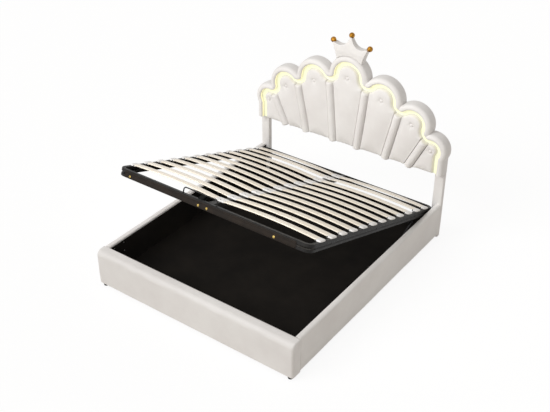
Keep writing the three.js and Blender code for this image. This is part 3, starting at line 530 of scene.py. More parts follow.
def edge_foot(i, side):
    """Where a petal's edge beside flute i meets the lower edge of the headboard."""
    foot, along, _, _ = FLUTES[i]
    return foot + np.array([side * FLUTE_GAP / along[1], 0])


def inset_arc(centre, radius, start, end):
    """Part of a petal's edge; a negative radius takes the far side, as round a notch."""
    return round_points(centre, radius, np.linspace(start, end, 18))


def petal_outline(i):
    centre, radius = LOBES[i]
    rows = [inset_arc(centre, radius - PETAL, *lobe_span(i))]
    start, end = notch_span(i)
    if i < len(FLUTES):
        entry = valley_entry(i, -1)
        rows.append(inset_arc(NOTCHES[i], -PETAL, start, entry)[1:])
        rows.append([edge_foot(i, -1)])
    else:
        rows.append(inset_arc(NOTCHES[i], -PETAL, start, end)[1:])
        rows.append([(LEG_OUT - PETAL, HEAD_LOW)])
    right = np.concatenate([np.asarray(r, float).reshape(-1, 2) for r in rows])
    if i == 0:
        left = right[1:][::-1] * (-1, 1)
    else:
        entry = valley_entry(i - 1, 1)
        _, end = notch_span(i - 1)
        left = np.concatenate([[edge_foot(i - 1, 1)], inset_arc(NOTCHES[i - 1], -PETAL, entry, end)[:-1]])
    loop = np.concatenate([left, right])
    loop = even_loop(loop, 239)
    for _ in range(2):
        loop = loop * 0.5 + (np.roll(loop, 1, 0) + np.roll(loop, -1, 0)) * 0.25
    return loop


def edge_distance(points, loop):
    """How far each point lies from the loop's edge."""
    a, b = loop, np.roll(loop, -1, 0)
    span = b - a
    rel = points[:, None] - a[None]
    share = np.clip((rel * span).sum(-1) / (span**2).sum(-1), 0, 1)
    return np.linalg.norm(rel - share[..., None] * span, axis=-1).min(1)


RING_SHARES = np.concatenate([1 - np.linspace(0, 1, 15) ** 1.8 * 0.24, np.linspace(0.72, 0.02, 24)])


def raised(loop, hub, height):
    """Rings from a star-shaped loop in to its hub, and their rise, which height works out
    from the points and their distance to the edge."""
    rings = hub + RING_SHARES[:, None, None] * (loop - hub)
    flat = rings.reshape(-1, 2)
    return rings, height(flat, edge_distance(flat, loop)).reshape(rings.shape[:2])


def pad(loop, hub, height):
    """A padded face over a loop, with its flat back on the core board."""
    rings, rise = raised(loop, hub, height)
    front = np.stack([rings[..., 0], PAD_BACK - rise, rings[..., 1]], -1)
    rear = np.stack([loop[:, 0], np.full(len(loop), PAD_BACK), loop[:, 1]], -1)[None]
    return loft(metres(np.concatenate([rear, front])))


# Cloth simulation, in metres: cell of the even copy, most movement, depth of the held rim, held round
CELL, MOST, HELD_DEPTH, HELD_ROUND = 0.007, 0.006, 0.028, 0.024
CLOTH_FRAMES = 20


def cloth_shift(shape, held):
    """How far each point of a closed cover moves when light pressure fills it, held where told."""
    rest = np.array([v.co for v in shape.data.vertices])
    group = shape.vertex_groups.new(name="held")
    group.add([int(i) for i in np.nonzero(held(rest))[0]], 1.0, "REPLACE")
    cloth = shape.modifiers.new("filling", "CLOTH")
    for key, value in (
        ("use_pressure", True),
        ("uniform_pressure_force", 3.5),
        ("tension_stiffness", 80.0),
        ("compression_stiffness", 80.0),
        ("shear_stiffness", 20.0),
        ("bending_stiffness", 0.6),
        ("air_damping", 2.0),
        ("shrink_min", -0.001),
        ("vertex_group_mass", "held"),
    ):
        setattr(cloth.settings, key, value)
    cloth.settings.effector_weights.gravity = 0.0
    cloth.collision_settings.use_collision = False
    cloth.point_cache.frame_start, cloth.point_cache.frame_end = 1, CLOTH_FRAMES
    scene = bpy.context.scene
    for step in range(1, CLOTH_FRAMES + 1):
        scene.frame_set(step)
    filled = shape.evaluated_get(bpy.context.evaluated_depsgraph_get())
    shift = np.array([v.co for v in filled.data.vertices]) - rest
    scene.frame_set(1)
    far = np.linalg.norm(shift, axis=1)
    return rest, shift * np.minimum(1, MOST / np.maximum(far, 1e-9))[:, None]


def filled_out(part, tuft):
    """A padded face after a cloth simulation on an even copy of it, its back rim and tuft held."""
    points, faces = part
    mesh = bpy.data.meshes.new("cover")
    mesh.from_pydata(points.tolist(), [], faces)
    shape = bpy.data.objects.new("cover", mesh)
    bpy.context.scene.collection.objects.link(shape)
    even = shape.modifiers.new("even", "REMESH")
    even.mode, even.voxel_size = "VOXEL", CELL
    depsgraph = bpy.context.evaluated_depsgraph_get()
    shape.data = bpy.data.meshes.new_from_object(shape.evaluated_get(depsgraph))
    shape.modifiers.clear()
    back, centre = points[:, 1].max(), metres([(tuft[0], 0, tuft[1])])[0]

    def held(p):
        at_rim = p[:, 1] > back - HELD_DEPTH
        return at_rim | (np.hypot(p[:, 0] - centre[0], p[:, 2] - centre[2]) < HELD_ROUND)

    rest, shift = cloth_shift(shape, held)
    near = KDTree(len(rest))
    for i, place in enumerate(rest):
        near.insert(place, i)
    near.balance()
    moved = np.array(points)
    for i, place in enumerate(points):
        found = near.find_n(place, 5)
        weights = np.array([1 / (d + 0.001) for _, _, d in found])
        moved[i] += weights @ shift[[j for _, j, _ in found]] / weights.sum()
    used = shape.data
    bpy.data.objects.remove(shape)
    bpy.data.meshes.remove(used)
    bpy.data.meshes.remove(mesh)
    return moved, faces


# A petal's padding: width and rise of its rolled edge, further rise of its middle, depth of its tuft
EDGE_WIDTH, EDGE_RISE, MIDDLE_RISE, TUFT_DIP = 17.0, 25, 19, 14


def petal_height(tuft, seed, flanks):
    """Padding over a petal: its edges beside flutes roll over more tightly and stand up a little."""

    def height(points, distance):
        width, lift = EDGE_WIDTH, 0.0
        for foot, across, tight, rise, reach in flanks:
            beside = (points - foot) @ across - FLUTE_GAP
            width = np.minimum(width, tight + (EDGE_WIDTH - tight) * np.clip((beside - 4) / 26, 0, 1))
            lift = lift + rise * np.exp(-np.maximum(beside, 0) / reach)
        near = np.minimum(distance, width) / width
        rolled = EDGE_RISE * np.sqrt(1 - (1 - near) ** 2)
        rise = rolled + MIDDLE_RISE * (1 - np.exp(-distance / 42)) + lift * near
        away = points - tuft
        r = np.hypot(away[:, 0], away[:, 1])
        angle = np.arctan2(away[:, 1], away[:, 0])
        dip = TUFT_DIP * np.exp(-((r / 19) ** 2)) + 3.5 * np.exp(-((r / 55) ** 2))
        folds = 0.6 * np.cos(5 * angle + seed) * np.exp(-(((r - 27) / 13) ** 2))
        soft_waves = 1.1 * np.sin(points[:, 0] / 47 + seed) * np.sin(points[:, 1] / 83 + 1.7 * seed)
        return rise - dip - (folds - soft_waves) * near

    return height


# A covered button: how far it stands out, and its (radius, how far back) points
BUTTON_FACE = 28.4
BUTTON = [(13.4, 5.0), (14.6, 1.5), (14.2, -2.5), (12.2, -5.6), (7.8, -7.6), (3.0, -8.4)]


def button(tuft):
    rings, turn = [], full_turn(28)
    for r, y in BUTTON:
        depth = np.full(len(turn), PAD_BACK - BUTTON_FACE + y)
        rings.append(np.stack([tuft[0] + r * np.cos(turn), depth, tuft[1] + r * np.sin(turn)], -1))
    return loft(metres(rings))


def tuft_of(i):
    """The place of a petal's button, a little below the middle of its lobe."""
    (x, z), radius = LOBES[i]
    return np.array([x, z - radius * 0.055])


# How a cover meets a flute: width of its tight edge, how far it stands up, and how far that reaches
SOFT, CREASED = (6, 9, 11), (5, 12, 16)


def flank(i, side, kind, flip=1):
    """The side of a petal at flute i, of a soft or creased kind; nothing past the last flute."""
    if not 0 <= i < len(FLUTES):
        return []
    foot, _, across, _ = FLUTES[i]
    return [(foot * (flip, 1), across * (side * flip, side), *kind)]


buttons = []
for i in range(len(LOBES)):
    tuft = tuft_of(i)
    flanks = flank(i, -1, SOFT) + (flank(i - 1, 1, CREASED) if i else flank(0, -1, CREASED, flip=-1))
    made = filled_out(pad(petal_outline(i), tuft, petal_height(tuft, i + 0.6, flanks)), tuft)
    knob = button(tuft)
    if i == 0:
        cushion("petal_centre", made, "centre_petal")
        buttons.append(knob)
        continue
    cushion(f"petal_right_{i}", made, f"right_petal_{i}")
    flanks = flank(i - 1, 1, SOFT) + flank(i, -1, CREASED)
    left = pad(petal_outline(i), tuft, petal_height(tuft, 3.1 * i + 1.9, flanks))
    cushion(f"petal_left_{i}", mirror(filled_out(left, tuft)), f"left_petal_{i}")
    buttons += [knob, mirror(knob)]
piece("petal_buttons", buttons, LEATHER, "bed_box", angle=60)


# A flute: half its width, its rise, where it starts, and how long its rounded foot and tip are
FLUTE_HALF, FLUTE_RISE, FLUTE_LOW, FOOT_EASE, TIP_EASE = 35.5, 58, -2.5, 11, 22


def flute(i, seed, soft):
    """A padded roll: its soft flank (-1 or 1, along its own across) stands up close to the petal."""
    foot, along, across, notch = FLUTES[i]
    length = np.linalg.norm(notch - foot) - PETAL
    first = FLUTE_LOW + FOOT_EASE * (1 - np.cos(np.linspace(0, math.pi / 2, 8)))
    last = length - TIP_EASE * (1 - np.sin(np.linspace(0.1, math.pi / 2, 9)))
    rings = []
    for d in np.concatenate([first, np.linspace(13, length - 24, 44), last]):
        near = min(1.0, (d - FLUTE_LOW) / FOOT_EASE, (length - d) / TIP_EASE)
        swell = math.sqrt(max(0.0, 1 - (1 - near) ** 2))
        half = FLUTE_HALF * (0.8 + 0.2 * swell)
        rise = FLUTE_RISE * (0.55 + 0.45 * swell)
        turn = np.linspace(0, math.pi, 33)
        wave = 1 + 0.012 * np.sin(d / 31 + seed + 2 * turn)
        flank = np.clip(soft * np.cos(turn), 0, 1)
        side = np.sign(np.cos(turn)) * np.abs(np.cos(turn)) ** 0.9 * half
        power = 0.78 - 0.3 * flank**0.5
        up = rise * np.sin(turn) ** power * wave - 4 * flank * np.sin(turn)
        p = foot + along * d + across * side[:, None]
        rings.append(np.stack([p[:, 0], PAD_BACK - up, p[:, 1]], -1))
    return loft(metres(rings))


for i in range(len(FLUTES)):
    cushion(f"roll_right_{i + 1}", flute(i, i, -1), f"right_flute_{i + 1}")
    cushion(f"roll_left_{i + 1}", mirror(flute(i, i + 4.2, 1)), f"left_flute_{i + 1}")


# Crown: the headboard's top, the crown's middle plane, half its base, the radius that it sits on
HEAD_TOP, CROWN_MIDDLE, CROWN_HALF, CROWN_SEAT = 1466.0, 2167.0, 122, 187.6
CROWN_HUB = (0.0, 1518.0)


def bezier(a, b, c, steps=16):
    t = np.linspace(0, 1, steps)[:, None]
    return (1 - t) ** 2 * np.array(a) + 2 * t * (1 - t) * np.array(b) + t * t * np.array(c)


def crown_outline():
    top = HEAD_TOP
    spread = math.degrees(math.asin(CROWN_HALF / CROWN_SEAT))
    base = arc(LOBES[0][0], CROWN_SEAT, 90, 90 - spread, 14)
    side = bezier(base[-1], (131, top + 10), (166, top + 82))
    tip = bezier((166, top + 82), (168, top + 93), (157, top + 91), 6)
    valley = bezier((157, top + 91), (42, top + 48), (9, top + 164))
    peak = bezier((9, top + 164), (5, top + 169), (0, top + 169), 6)
    right = np.concatenate([base, side[1:], tip[1:], valley[1:], peak[1:]])
    loop = np.concatenate([right, right[1:-1][::-1] * (-1, 1)])
    return even_loop(loop, 229)


def crown_height(points, distance):
    near = np.minimum(distance, 7) / 7
    thin = np.clip((points[:, 1] - 1500) / 144, 0, 1)
    return 30.5 - 17 * thin + 5 * np.sqrt(1 - (1 - near) ** 2) + 3 * (1 - np.exp(-distance / 30))


def crown_part():
    rings, rise = raised(crown_outline(), np.array(CROWN_HUB), crown_height)
    front = np.stack([rings[..., 0], CROWN_MIDDLE - rise, rings[..., 1]], -1)
    rear = np.stack([rings[..., 0], CROWN_MIDDLE + rise, rings[..., 1]], -1)[::-1]
    return loft(metres(np.concatenate([rear, front])))


cushion("crown_cushion", crown_part(), "crown")


def ball(centre, radius):
    rings, turn = [], full_turn(36)
    for a in np.linspace(0.04, math.pi - 0.04, 24):
        r = radius * math.sin(a)
        level = np.full(len(turn), radius * math.cos(a))
        rings.append(np.stack([r * np.cos(turn), r * np.sin(turn), level], -1))
    return loft(metres(np.array(rings) + centre))


# (how far out, radius)
COLLAR = [(25, 10.0), (22, 13.5), (20, 15.0), (18, 14.0), (15, 16.5), (12, 17.5)]


def collar(centre, toward):
    """A ribbed cup between a ball and the crown's point."""
    toward = np.array(toward, float) / np.linalg.norm(toward)
    side = np.array([0.0, 1.0, 0.0])
    other = np.cross(toward, side)
    rings, turn = [], full_turn(40)
    for d, r in COLLAR:
        ring = r * (1 + 0.03 * np.cos(10 * turn))
        outline = side * (ring * np.cos(turn))[:, None] + other * (ring * np.sin(turn))[:, None]
        rings.append(np.array(centre) + toward * d + outline)
    return loft(metres(rings))


BALL_RADIUS = 24
BALLS = {"left": (-176, 1566), "centre": (0, 1644), "right": (176, 1566)}
for name, (x, z) in BALLS.items():
    toward = (-x * 0.9, 0, -100) if x else (0, 0, -1)
    centre = (x, CROWN_MIDDLE, z)
    parts = [ball(centre, BALL_RADIUS), collar(centre, toward)]
    piece(f"ball_{name}", parts, GOLD, "bed_box", [f"crown_ball_{name}"])


# Upholstered box: rails, foot panel and legs
def drift(a, b, seed):
    """Slow waves in a stretched cover, in millimetres."""
    return 0.7 * math.sin(a / 137 + seed) * math.sin(b / 71 + 2 * seed) + 0.35 * math.sin(a / 53 + 3 * seed)


# How far covers stay above the rail's and panel's underside, and the rail board's outer face
COVER_LOW, BOARD_FACE = 0.3, 913.0


def rail_section():
    """The right rail cover's (x, z) points, from its underside up the outer side to the lining."""
    low = RAIL_LOW + COVER_LOW
    points = [(BOARD_FACE, low), (935.0, low)]
    points += [tuple(p) for p in arc((RAIL_OUT - 7, low + 7), 7, -90, 0, 5)]
    for z in np.linspace(low + 16, 306, 16):
        points.append((RAIL_OUT + 2.2 * math.sin(math.pi * (z - low) / 290), z))
    points += [tuple(p) for p in arc((RAIL_OUT - 20, RAIL_TOP - 20), 20, 8, 84, 8)]
    points += [(922, RAIL_TOP + 0.8), (914, RAIL_TOP + 0.8)]
    points += [tuple(p) for p in arc((908.5, RAIL_TOP - 11.6), 12, 86, 180, 8)]
    points += [(896.5, 318.0), (897.2, LINING_TOP + 1.2), (899.0, LINING_TOP + 0.5)]
    points += [(BOARD_FACE, LINING_TOP + 0.6)]
    points += [(BOARD_FACE, z) for z in np.linspace(300, 60, 6)]
    return np.array(points)


RAIL_START, RAIL_END, RAIL_ROUND = 100.2, 2183.2, 4.5


def rail(seed):
    """The right rail's cover: slow waves on its outer side and top, and rounded ends."""
    section = rail_section()
    ease = np.array([0, 0.4, 1.2, 2.6, RAIL_ROUND])
    middle = np.linspace(20 + RAIL_START, RAIL_END - 20, 64)
    rings = []
    for y in np.concatenate([RAIL_START + ease, middle, RAIL_END - ease[::-1]]):
        pull = rounding(RAIL_ROUND, min(y - RAIL_START, RAIL_END - y))
        ring = []
        for x, z in section:
            on_cover, on_top, at_hem = x > BOARD_FACE + 1, z > 325, z < 42
            wave = on_cover * drift(y, z, seed)
            nx, nz = x + wave * (x > 935), z + wave * on_top * 0.6
            if on_cover:
                nx -= pull * (x > 926)
                nz += (-pull if on_top else pull if at_hem else 0) * 0.8
            ring.append((nx, y, nz))
        rings.append(ring)
    return loft(metres(rings))


cushion("rail_cushion_right", rail(0.4), "right_rail_cover")
cushion("rail_cushion_left", mirror(rail(2.3)), "left_rail_cover")


FOOT_BACK, FOOT_ROUND, FOOT_CORNER, FOOT_END, FOOT_HEM, BACK_CORNER = 96.6, 45.0, 22.0, 14.0, 11.0, 7


def foot_section():
    """The foot panel's (y, z) points, from its underside up the front and over to its back."""
    low, top = UNDERSIDE + COVER_LOW, RAIL_TOP
    points = [(FOOT_BACK, low), (70.0, low), (30.0, low)]
    hem = np.radians(np.linspace(90, 0, 8))
    points += [(FOOT_HEM * (1 - math.cos(a)), low + FOOT_HEM * (1 - math.sin(a))) for a in hem]
    for z in np.linspace(low + 24, 276, 18):
        points.append((-1.8 * math.sin(math.pi * (z - low) / 266), z))
    roll = np.radians(np.linspace(3, 88, 20))
    points += [(FOOT_ROUND * (1 - math.cos(a)), top - FOOT_ROUND * (1 - math.sin(a))) for a in roll]
    points += [(y, top + 0.9 * math.sin(math.pi * (y - 45) / 50)) for y in (52.0, 62.0, 72.0, 80.0, 86.0)]
    points += [(90.5, top - 0.9), (94.0, top - 3.0), (96.0, top - 6.2), (FOOT_BACK, top - 10)]
    points += [(FOOT_BACK, z) for z in np.linspace(310, 60, 8)]
    return np.array(points)


def cover_waves(x):
    """The wavy line where the front cover is drawn over the panel's round top edge."""
    slow = math.sin(x / 61 + 0.8) * math.sin(x / 173 + 0.3)
    return slow + 0.6 * math.sin(x / 29 + 2.1) * math.sin(x / 211 + 1.4)


def foot_panel():
    """The foot panel's cover, with rounded corners, its top edge lower towards the ends."""
    section = foot_section()
    ends = HALF - FOOT_CORNER * (1 - np.cos(np.linspace(0, math.pi / 2, 14)))
    stations = np.concatenate([-ends, np.linspace(-HALF + 30, HALF - 30, 130), ends[::-1]])
    rings = []
    for x in stations:
        t = HALF - abs(x)
        inset, drop = rounding(FOOT_CORNER, t), rounding(FOOT_END, t)
        hem, back = rounding(FOOT_HEM, t), rounding(BACK_CORNER, t)
        ring = []
        for y, z in section:
            fade = min(1.0, t / 60)
            wave = drift(x, z, 1.3) * (y < 60) * fade
            wave += 1.9 * cover_waves(x) * math.exp(-(((z - 296) / 12) ** 2)) * (y < 40) * fade
            ny = y + inset * (1 - y / FOOT_BACK) + wave - back * (y > 80)
            nz = z - drop * max(0.0, (z - 180) / 154) + hem * max(0.0, (60 - z) / 36)
            ring.append((x, ny, nz))
        rings.append(ring)
    return loft(metres(rings))


cushion("foot_cushion", foot_panel(), "foot_cover")


def rounded_loop(low, high, radius, steps=6):
    """A rectangle with rounded corners."""
    parts = [
        arc((high[0] - radius, high[1] - radius), radius, 0, 90, steps),
        arc((low[0] + radius, high[1] - radius), radius, 90, 180, steps),
        arc((low[0] + radius, low[1] + radius), radius, 180, 270, steps),
        arc((high[0] - radius, low[1] + radius), radius, 270, 360, steps),
    ]
    return np.concatenate(parts)


LEG_LOW, LEG_TOP, LEG_ROUND = 3.2, 639.6, 6


def leg(seed):
    """The right leg's cover, and the black glide under it."""
    loop = rounded_loop((LEG_IN, LEG_FRONT), (LEG_OUT, LENGTH), 9)
    middle = loop.mean(0)
    rings = []
    for z in [LEG_LOW, 3.8, 5.5, 9, 15, *np.linspace(30, 620, 31), 632, 636.5, 639, LEG_TOP]:
        pull = rounding(LEG_ROUND, min(z - LEG_LOW, LEG_TOP - z))
        ring = []
        for i, (x, y) in enumerate(loop):
            away = np.array([x, y]) - middle
            n = away / np.linalg.norm(away)
            shift = 0.5 * drift(z, 60 * i, seed) + 0.8 * math.sin(math.pi * (z - 3) / 637) - pull
            ring.append((x + n[0] * shift, y + n[1] * shift, z))
        rings.append(ring)
    glide_loop = rounded_loop((LEG_IN + 8, LEG_FRONT + 8), (LEG_OUT - 8, LENGTH - 8), 7)
    glide = [[(x, y, z) for x, y in glide_loop] for z in (0.0, 0.2, 3.6)]
    return loft(metres(rings)), loft(metres(glide))


for side, seed in (("right", 0.9), ("left", 2.7)):
    cover, glide = [mirror(part) if side == "left" else part for part in leg(seed)]
    cushion(f"leg_cushion_{side}", cover, f"{side}_leg")
    piece(f"leg_glide_{side}", [glide], PLASTIC, "bed_box")


# Slats and their caps
FIRST_ROW, LAST_ROW, ROW_COUNT = 150, 1850, 12
SLAT_IN, SLAT_OUT, SLAT_HALF, SLAT_THICK, SLAT_BOW = 40, 881, 34.0, 8.0, 16
CAP_IN, CAP_OUT, MIDDLE_CAP, CAP_HALF, CAP_CORNER = 837, 887, 46, 39, 14
RIDGE_OUT, CLIP_OUT, MIDDLE_RIDGE = 870, 848, 9
# (inset, up), from a cap's underside to its top
CAP_PROFILE = [(1.2, 0.4), (0, 1.4), (0, 7.4), (0.6, 9.4), (2, 11.1), (4.4, 12.2), (8, 12.8), (12, 13)]
ROWS = [FIRST_ROW + (LAST_ROW - FIRST_ROW) / (ROW_COUNT - 1) * i for i in range(ROW_COUNT)]


def slat(row, sign):
    """A sprung slat, bowed upwards between its caps."""
    loop = rounded_loop((-SLAT_HALF, 0), (SLAT_HALF, SLAT_THICK), 2.6, 3)
    rings = []
    for t in np.linspace(0, 1, 26):
        x = SLAT_IN + (SLAT_OUT - SLAT_IN) * t
        base = 2.2 + SLAT_BOW * 4 * t * (1 - t)
        rings.append([(sign * x, row + s, base + u) for s, u in loop])
    return loft(metres(on_platform(rings)))


def raised_block(low, high, corner, steps, levels):
    """A block with rounded corners that stands up from the platform between two levels."""
    loop = rounded_loop(low, high, corner, steps)
    return loft(metres(on_platform([[(x, s, u) for x, s in loop] for u in levels])))


def cap(low, high, row, ridge):
    """A moulded cap with a rounded top and ribs on it."""
    rings = []
    for inset, u in CAP_PROFILE:
        near, far = row - CAP_HALF + inset, row + CAP_HALF - inset
        loop = rounded_loop((low + inset, near), (high - inset, far), CAP_CORNER - min(inset, 8), 5)
        rings.append([(x, s, u) for x, s in loop])
    made = [loft(metres(on_platform(rings)))]
    for x in ridge:
        made.append(raised_block((x - 2, row - 27), (x + 2, row + 27), 1.9, 3, (12.0, 13.7)))
    return made


slats, caps, clips = [], [], []
for row in ROWS:
    for sign in (1, -1):
        slats.append(slat(row, sign))
        caps += cap(*sorted((sign * CAP_IN, sign * CAP_OUT)), row, [sign * RIDGE_OUT])
        x = sign * CLIP_OUT
        clips.append(raised_block((x - 3, row + 36), (x + 3, row + 43), 2.9, 3, (-3, 11.0)))
    clips.append(raised_block((-4, row + 15), (4, row + 23), 3.9, 4, (12.4, 13.5)))
    caps += cap(-MIDDLE_CAP, MIDDLE_CAP, row, [-MIDDLE_RIDGE, MIDDLE_RIDGE])
slat_rows = [f"slat_row_{i + 1:02d}" for i in range(ROW_COUNT)]
piece("slat_wood", slats, BIRCH, "platform", slat_rows)
piece("slat_caps", caps, CAPS, "platform")
piece("slat_clips", clips, PLASTIC, "platform")


# Steel plates of the frame: the plate across the foot end and the webs between the side tubes
PLATE_BACK, PLATE_FACE, PLATE_MIDDLE, PLATE_ENDS = 2011, 2015.4, -33, (-810, 775)
WEB_OUT, WEB_ENDS, END_ROUND = 883, (70, 1940), 4
# Both profiles are (how far out, up)
PLATE_PROFILE = [
    (0.3, -58.6), (2.6, -59.2), (3.8, -58.4), (4.2, -56.8), (4.2, -40), (4.2, -23), (2.6, -21.6),
    (2.6, -19.2), (4.2, -17.8), (4.4, -12), (4.4, -9.4), (3.8, -7.8), (2.6, -7.2), (0.3, -7.6),
]
WEB_PROFILE = [(-3, -42), (0, -42), (0, -37), (-1.6, -35), (-1.6, -31), (0, -29), (0, -24), (-3, -24)]


def plate_stations(start, end):
    """Places along a plate and how near each is to its full height, 0 at the rounded ends."""
    turn = np.linspace(0, math.pi / 2, 6)
    first = [(start + END_ROUND * (1 - math.cos(a)), math.sin(a)) for a in turn]
    last = [(end - END_ROUND * (1 - math.cos(a)), math.sin(a)) for a in turn[::-1]]
    return first + [(x, 1.0) for x in np.linspace(start + 40, end - 40, 30)] + last


def foot_plate():
    """A rolled plate with a groove under its top edge."""
    rings = []
    for x, near in plate_stations(*PLATE_ENDS):
        squeeze = 1 - 0.07 * (1 - near)
        ring = [(x, PLATE_BACK + d, PLATE_MIDDLE + (u - PLATE_MIDDLE) * squeeze) for d, u in PLATE_PROFILE]
        rings.append(ring)
    return loft(metres(on_platform(rings)))


def side_web(side):
    """A plate with a pressed bead along its middle, set back between the two tubes."""
    rings = []
    for s, near in plate_stations(*WEB_ENDS):
        out = WEB_OUT + 1.2 * near
        rings.append([(side * (out + d), s, u) for d, u in WEB_PROFILE])
    return loft(metres(on_platform(rings)))


# The foot plate takes the lighter copy of the coated steel: painted light where it faces the lamps
piece("foot_end_plate", [foot_plate()], LIT_PLATE_STEEL, "platform", ["foot_plate"])
piece("side_webs", [side_web(1), side_web(-1)], STEEL, "platform")


# Pull strap: ribbed webbing that loops from the top of the foot tube to its inner face
STRAP_PLACE, STRAP_HALF = -92, 20
STRAP_PATH = [(1996, 1.8), (1971.6, 14), (1944, 18.6), (1934.8, 0), (1953, -16.6), (1979, -12)]


def smooth_path(places):
    """Points of a Catmull-Rom curve through the places."""
    p = np.array([places[0], *places, places[-1]], float)
    p[0], p[-1] = 2 * p[1] - p[2], 2 * p[-2] - p[-3]
    rows = []
    for a, b, c, d in zip(p, p[1:], p[2:], p[3:]):
        t = np.linspace(0, 1, 12, endpoint=False)[:, None]
        square, cube = 2 * a - 5 * b + 4 * c - d, 3 * b - a - 3 * c + d
        rows.append(0.5 * (2 * b + (c - a) * t + square * t**2 + cube * t**3))
    return np.concatenate([*rows, p[-2:-1]])


def strap():
    path = smooth_path(STRAP_PATH)
    ahead = np.gradient(path, axis=0)
    normal = np.stack([-ahead[:, 1], ahead[:, 0]], -1) / np.linalg.norm(ahead, axis=1)[:, None]
    across = np.linspace(-STRAP_HALF, STRAP_HALF, 41)
    half = 1.15 + 0.28 * np.cos(across * math.pi / 4) ** 2
    half[[0, -1]], half[[1, -2]] = 0.7, 1.1
    profile = np.concatenate([np.stack([across, half], -1), np.stack([across, -half], -1)[::-1]])
    rings = []
    for (s, u), (ns, nu) in zip(path, normal):
        rings.append([(STRAP_PLACE + x, s + ns * t, u + nu * t) for x, t in profile])
    return loft(metres(on_platform(rings)))


piece("strap_webbing", [strap()], WEBBING, "platform", ["pull_strap"])


# Bolts and screws
BOLTS_ACROSS, BOLTS_UP, BOLT_RADIUS, BOLT_HEIGHT = (-758, -84, -5, 592), -41, 6.2, 4.5
LINING_FACE, SCREW_RADIUS, SCREW_HEIGHT = -895.9, 4.5, 3
# (y, z) on the left lining
SCREW_PLACES = ((255, 292), (146, 289), (251, 215))


def screw(place, out, radius, height, sides):
    """A head with this many sides on a washer; place and out are row-frame millimetres."""
    out = np.array(out, float) / np.linalg.norm(out)
    side = np.cross(out, (0.3, 0.2, 1.0))
    side /= np.linalg.norm(side)
    other = np.cross(out, side)
    made = []
    for rows, count in (
        (((0, radius * 1.5), (height * 0.3, radius * 1.5), (height * 0.35, radius * 1.35)), 28),
        (((height * 0.3, radius), (height * 0.85, radius), (height, radius * 0.8)), sides),
    ):
        turn = full_turn(count)[:, None]
        outline = side * np.cos(turn) + other * np.sin(turn)
        made.append(loft(metres([np.array(place) + out * d + r * outline for d, r in rows])))
    return made


front = (on_platform([(0, 1, 0)]) - on_platform([(0, 0, 0)]))[0]
bolts = []
for x in BOLTS_ACROSS:
    place = on_platform([(x, PLATE_FACE, BOLTS_UP)])[0]
    bolts += screw(place, front, BOLT_RADIUS, BOLT_HEIGHT, 6)
piece("foot_bolts", bolts, BRASS, "platform", angle=30)

screws = []
for y, z in SCREW_PLACES:
    screws += screw((LINING_FACE, y, z), (1, 0, 0), SCREW_RADIUS, SCREW_HEIGHT, 16)
piece("lining_screws", screws, ZINC, "bed_box", angle=30)


# Stage and light: what the camera sees of floor and sky is near white, what lights the bed is warm
WHITE, WARM, FLOOR_TINT = (1, 1, 1, 1), (1.0, 0.965, 0.925, 1), (0.8, 0.765, 0.715, 1)
FLOOR_REACH, FLOOR_GLOW, SHADOW_HIDDEN, SKY_LIGHT = 30, 1.034, 0.86, 0.5
KEY_FROM, BOX_PLACE, BOX_AIM = (-0.42, -0.66, 0.62), Vector((-0.05, -1.25, 1.65)), Vector((0, 1.1, 0.8))


def cleared_tree(holder):
    """The node tree of a material or world, emptied."""
    holder.use_nodes = True
    holder.node_tree.nodes.clear()
    return holder.node_tree


def shader(tree, kind, color, strength=None):
    made = tree.nodes.new(kind)
    made.inputs["Color"].default_value = color
    if strength is not None:
        made.inputs["Strength"].default_value = strength
    return made


def mixed(tree, first, second):
    made = tree.nodes.new("ShaderNodeMixShader")
    tree.links.new(first.outputs[0], made.inputs[1])
    tree.links.new(second.outputs[0], made.inputs[2])
    return made


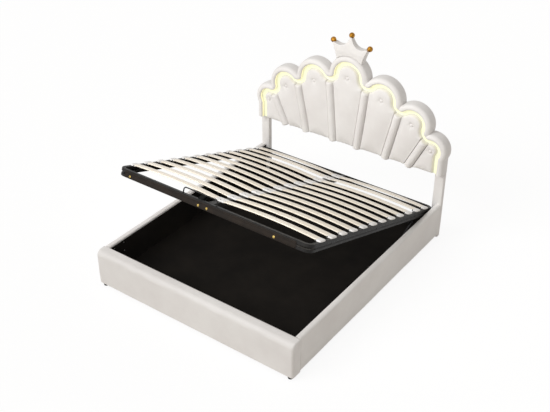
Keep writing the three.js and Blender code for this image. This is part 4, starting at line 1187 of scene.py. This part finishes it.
def show(tree, output, unseen, seen):
    """Ends a tree: one shader for what is seen, another for the light that falls on the bed.
    Rays from the camera, and those that metal and glass send on, see."""
    path = tree.nodes.new("ShaderNodeLightPath")
    value = path.outputs["Is Camera Ray"]
    for key in ("Is Glossy Ray", "Is Transmission Ray"):
        most = tree.nodes.new("ShaderNodeMath")
        most.operation = "MAXIMUM"
        tree.links.new(value, most.inputs[0])
        tree.links.new(path.outputs[key], most.inputs[1])
        value = most.outputs[0]
    choose = mixed(tree, unseen, seen)
    tree.links.new(value, choose.inputs[0])
    tree.links.new(choose.outputs[0], tree.nodes.new(output).inputs["Surface"])


def set_stage():
    mesh = bpy.data.meshes.new("floor")
    r = FLOOR_REACH
    mesh.from_pydata([(-r, -r, 0), (r, -r, 0), (r, r, 0), (-r, r, 0)], [], [(0, 1, 2, 3)])
    floor = bpy.data.objects.new("floor", mesh)
    bpy.context.scene.collection.objects.link(floor)
    material = bpy.data.materials.new("floor_paint")
    tree = cleared_tree(material)
    matt = shader(tree, "ShaderNodeBsdfDiffuse", FLOOR_TINT)
    shaded = shader(tree, "ShaderNodeBsdfDiffuse", WHITE)
    glow = shader(tree, "ShaderNodeEmission", WHITE, FLOOR_GLOW)
    pale = mixed(tree, shaded, glow)
    pale.inputs[0].default_value = SHADOW_HIDDEN
    show(tree, "ShaderNodeOutputMaterial", matt, pale)
    mesh.materials.append(material)


def lamp(name, kind, toward, **settings):
    data = bpy.data.lights.new(name, kind)
    for key, value in settings.items():
        setattr(data, key, value)
    made = bpy.data.objects.new(name, data)
    bpy.context.scene.collection.objects.link(made)
    made.rotation_mode = "QUATERNION"
    made.rotation_quaternion = Vector(toward).to_track_quat("Z", "Y")
    return made


def set_light():
    world = bpy.data.worlds.new("world")
    bpy.context.scene.world = world
    tree = cleared_tree(world)
    sky = shader(tree, "ShaderNodeBackground", WARM, SKY_LIGHT)
    seen = shader(tree, "ShaderNodeBackground", WHITE, 1.0)
    show(tree, "ShaderNodeOutputWorld", sky, seen)
    lamp("key", "SUN", KEY_FROM, energy=1.24, angle=math.radians(35))
    box = {"shape": "RECTANGLE", "size": 2.4, "size_y": 1.2, "spread": math.radians(135)}
    lamp("soft_box", "AREA", BOX_PLACE - BOX_AIM, energy=12.5, **box).location = BOX_PLACE


set_stage()
set_light()
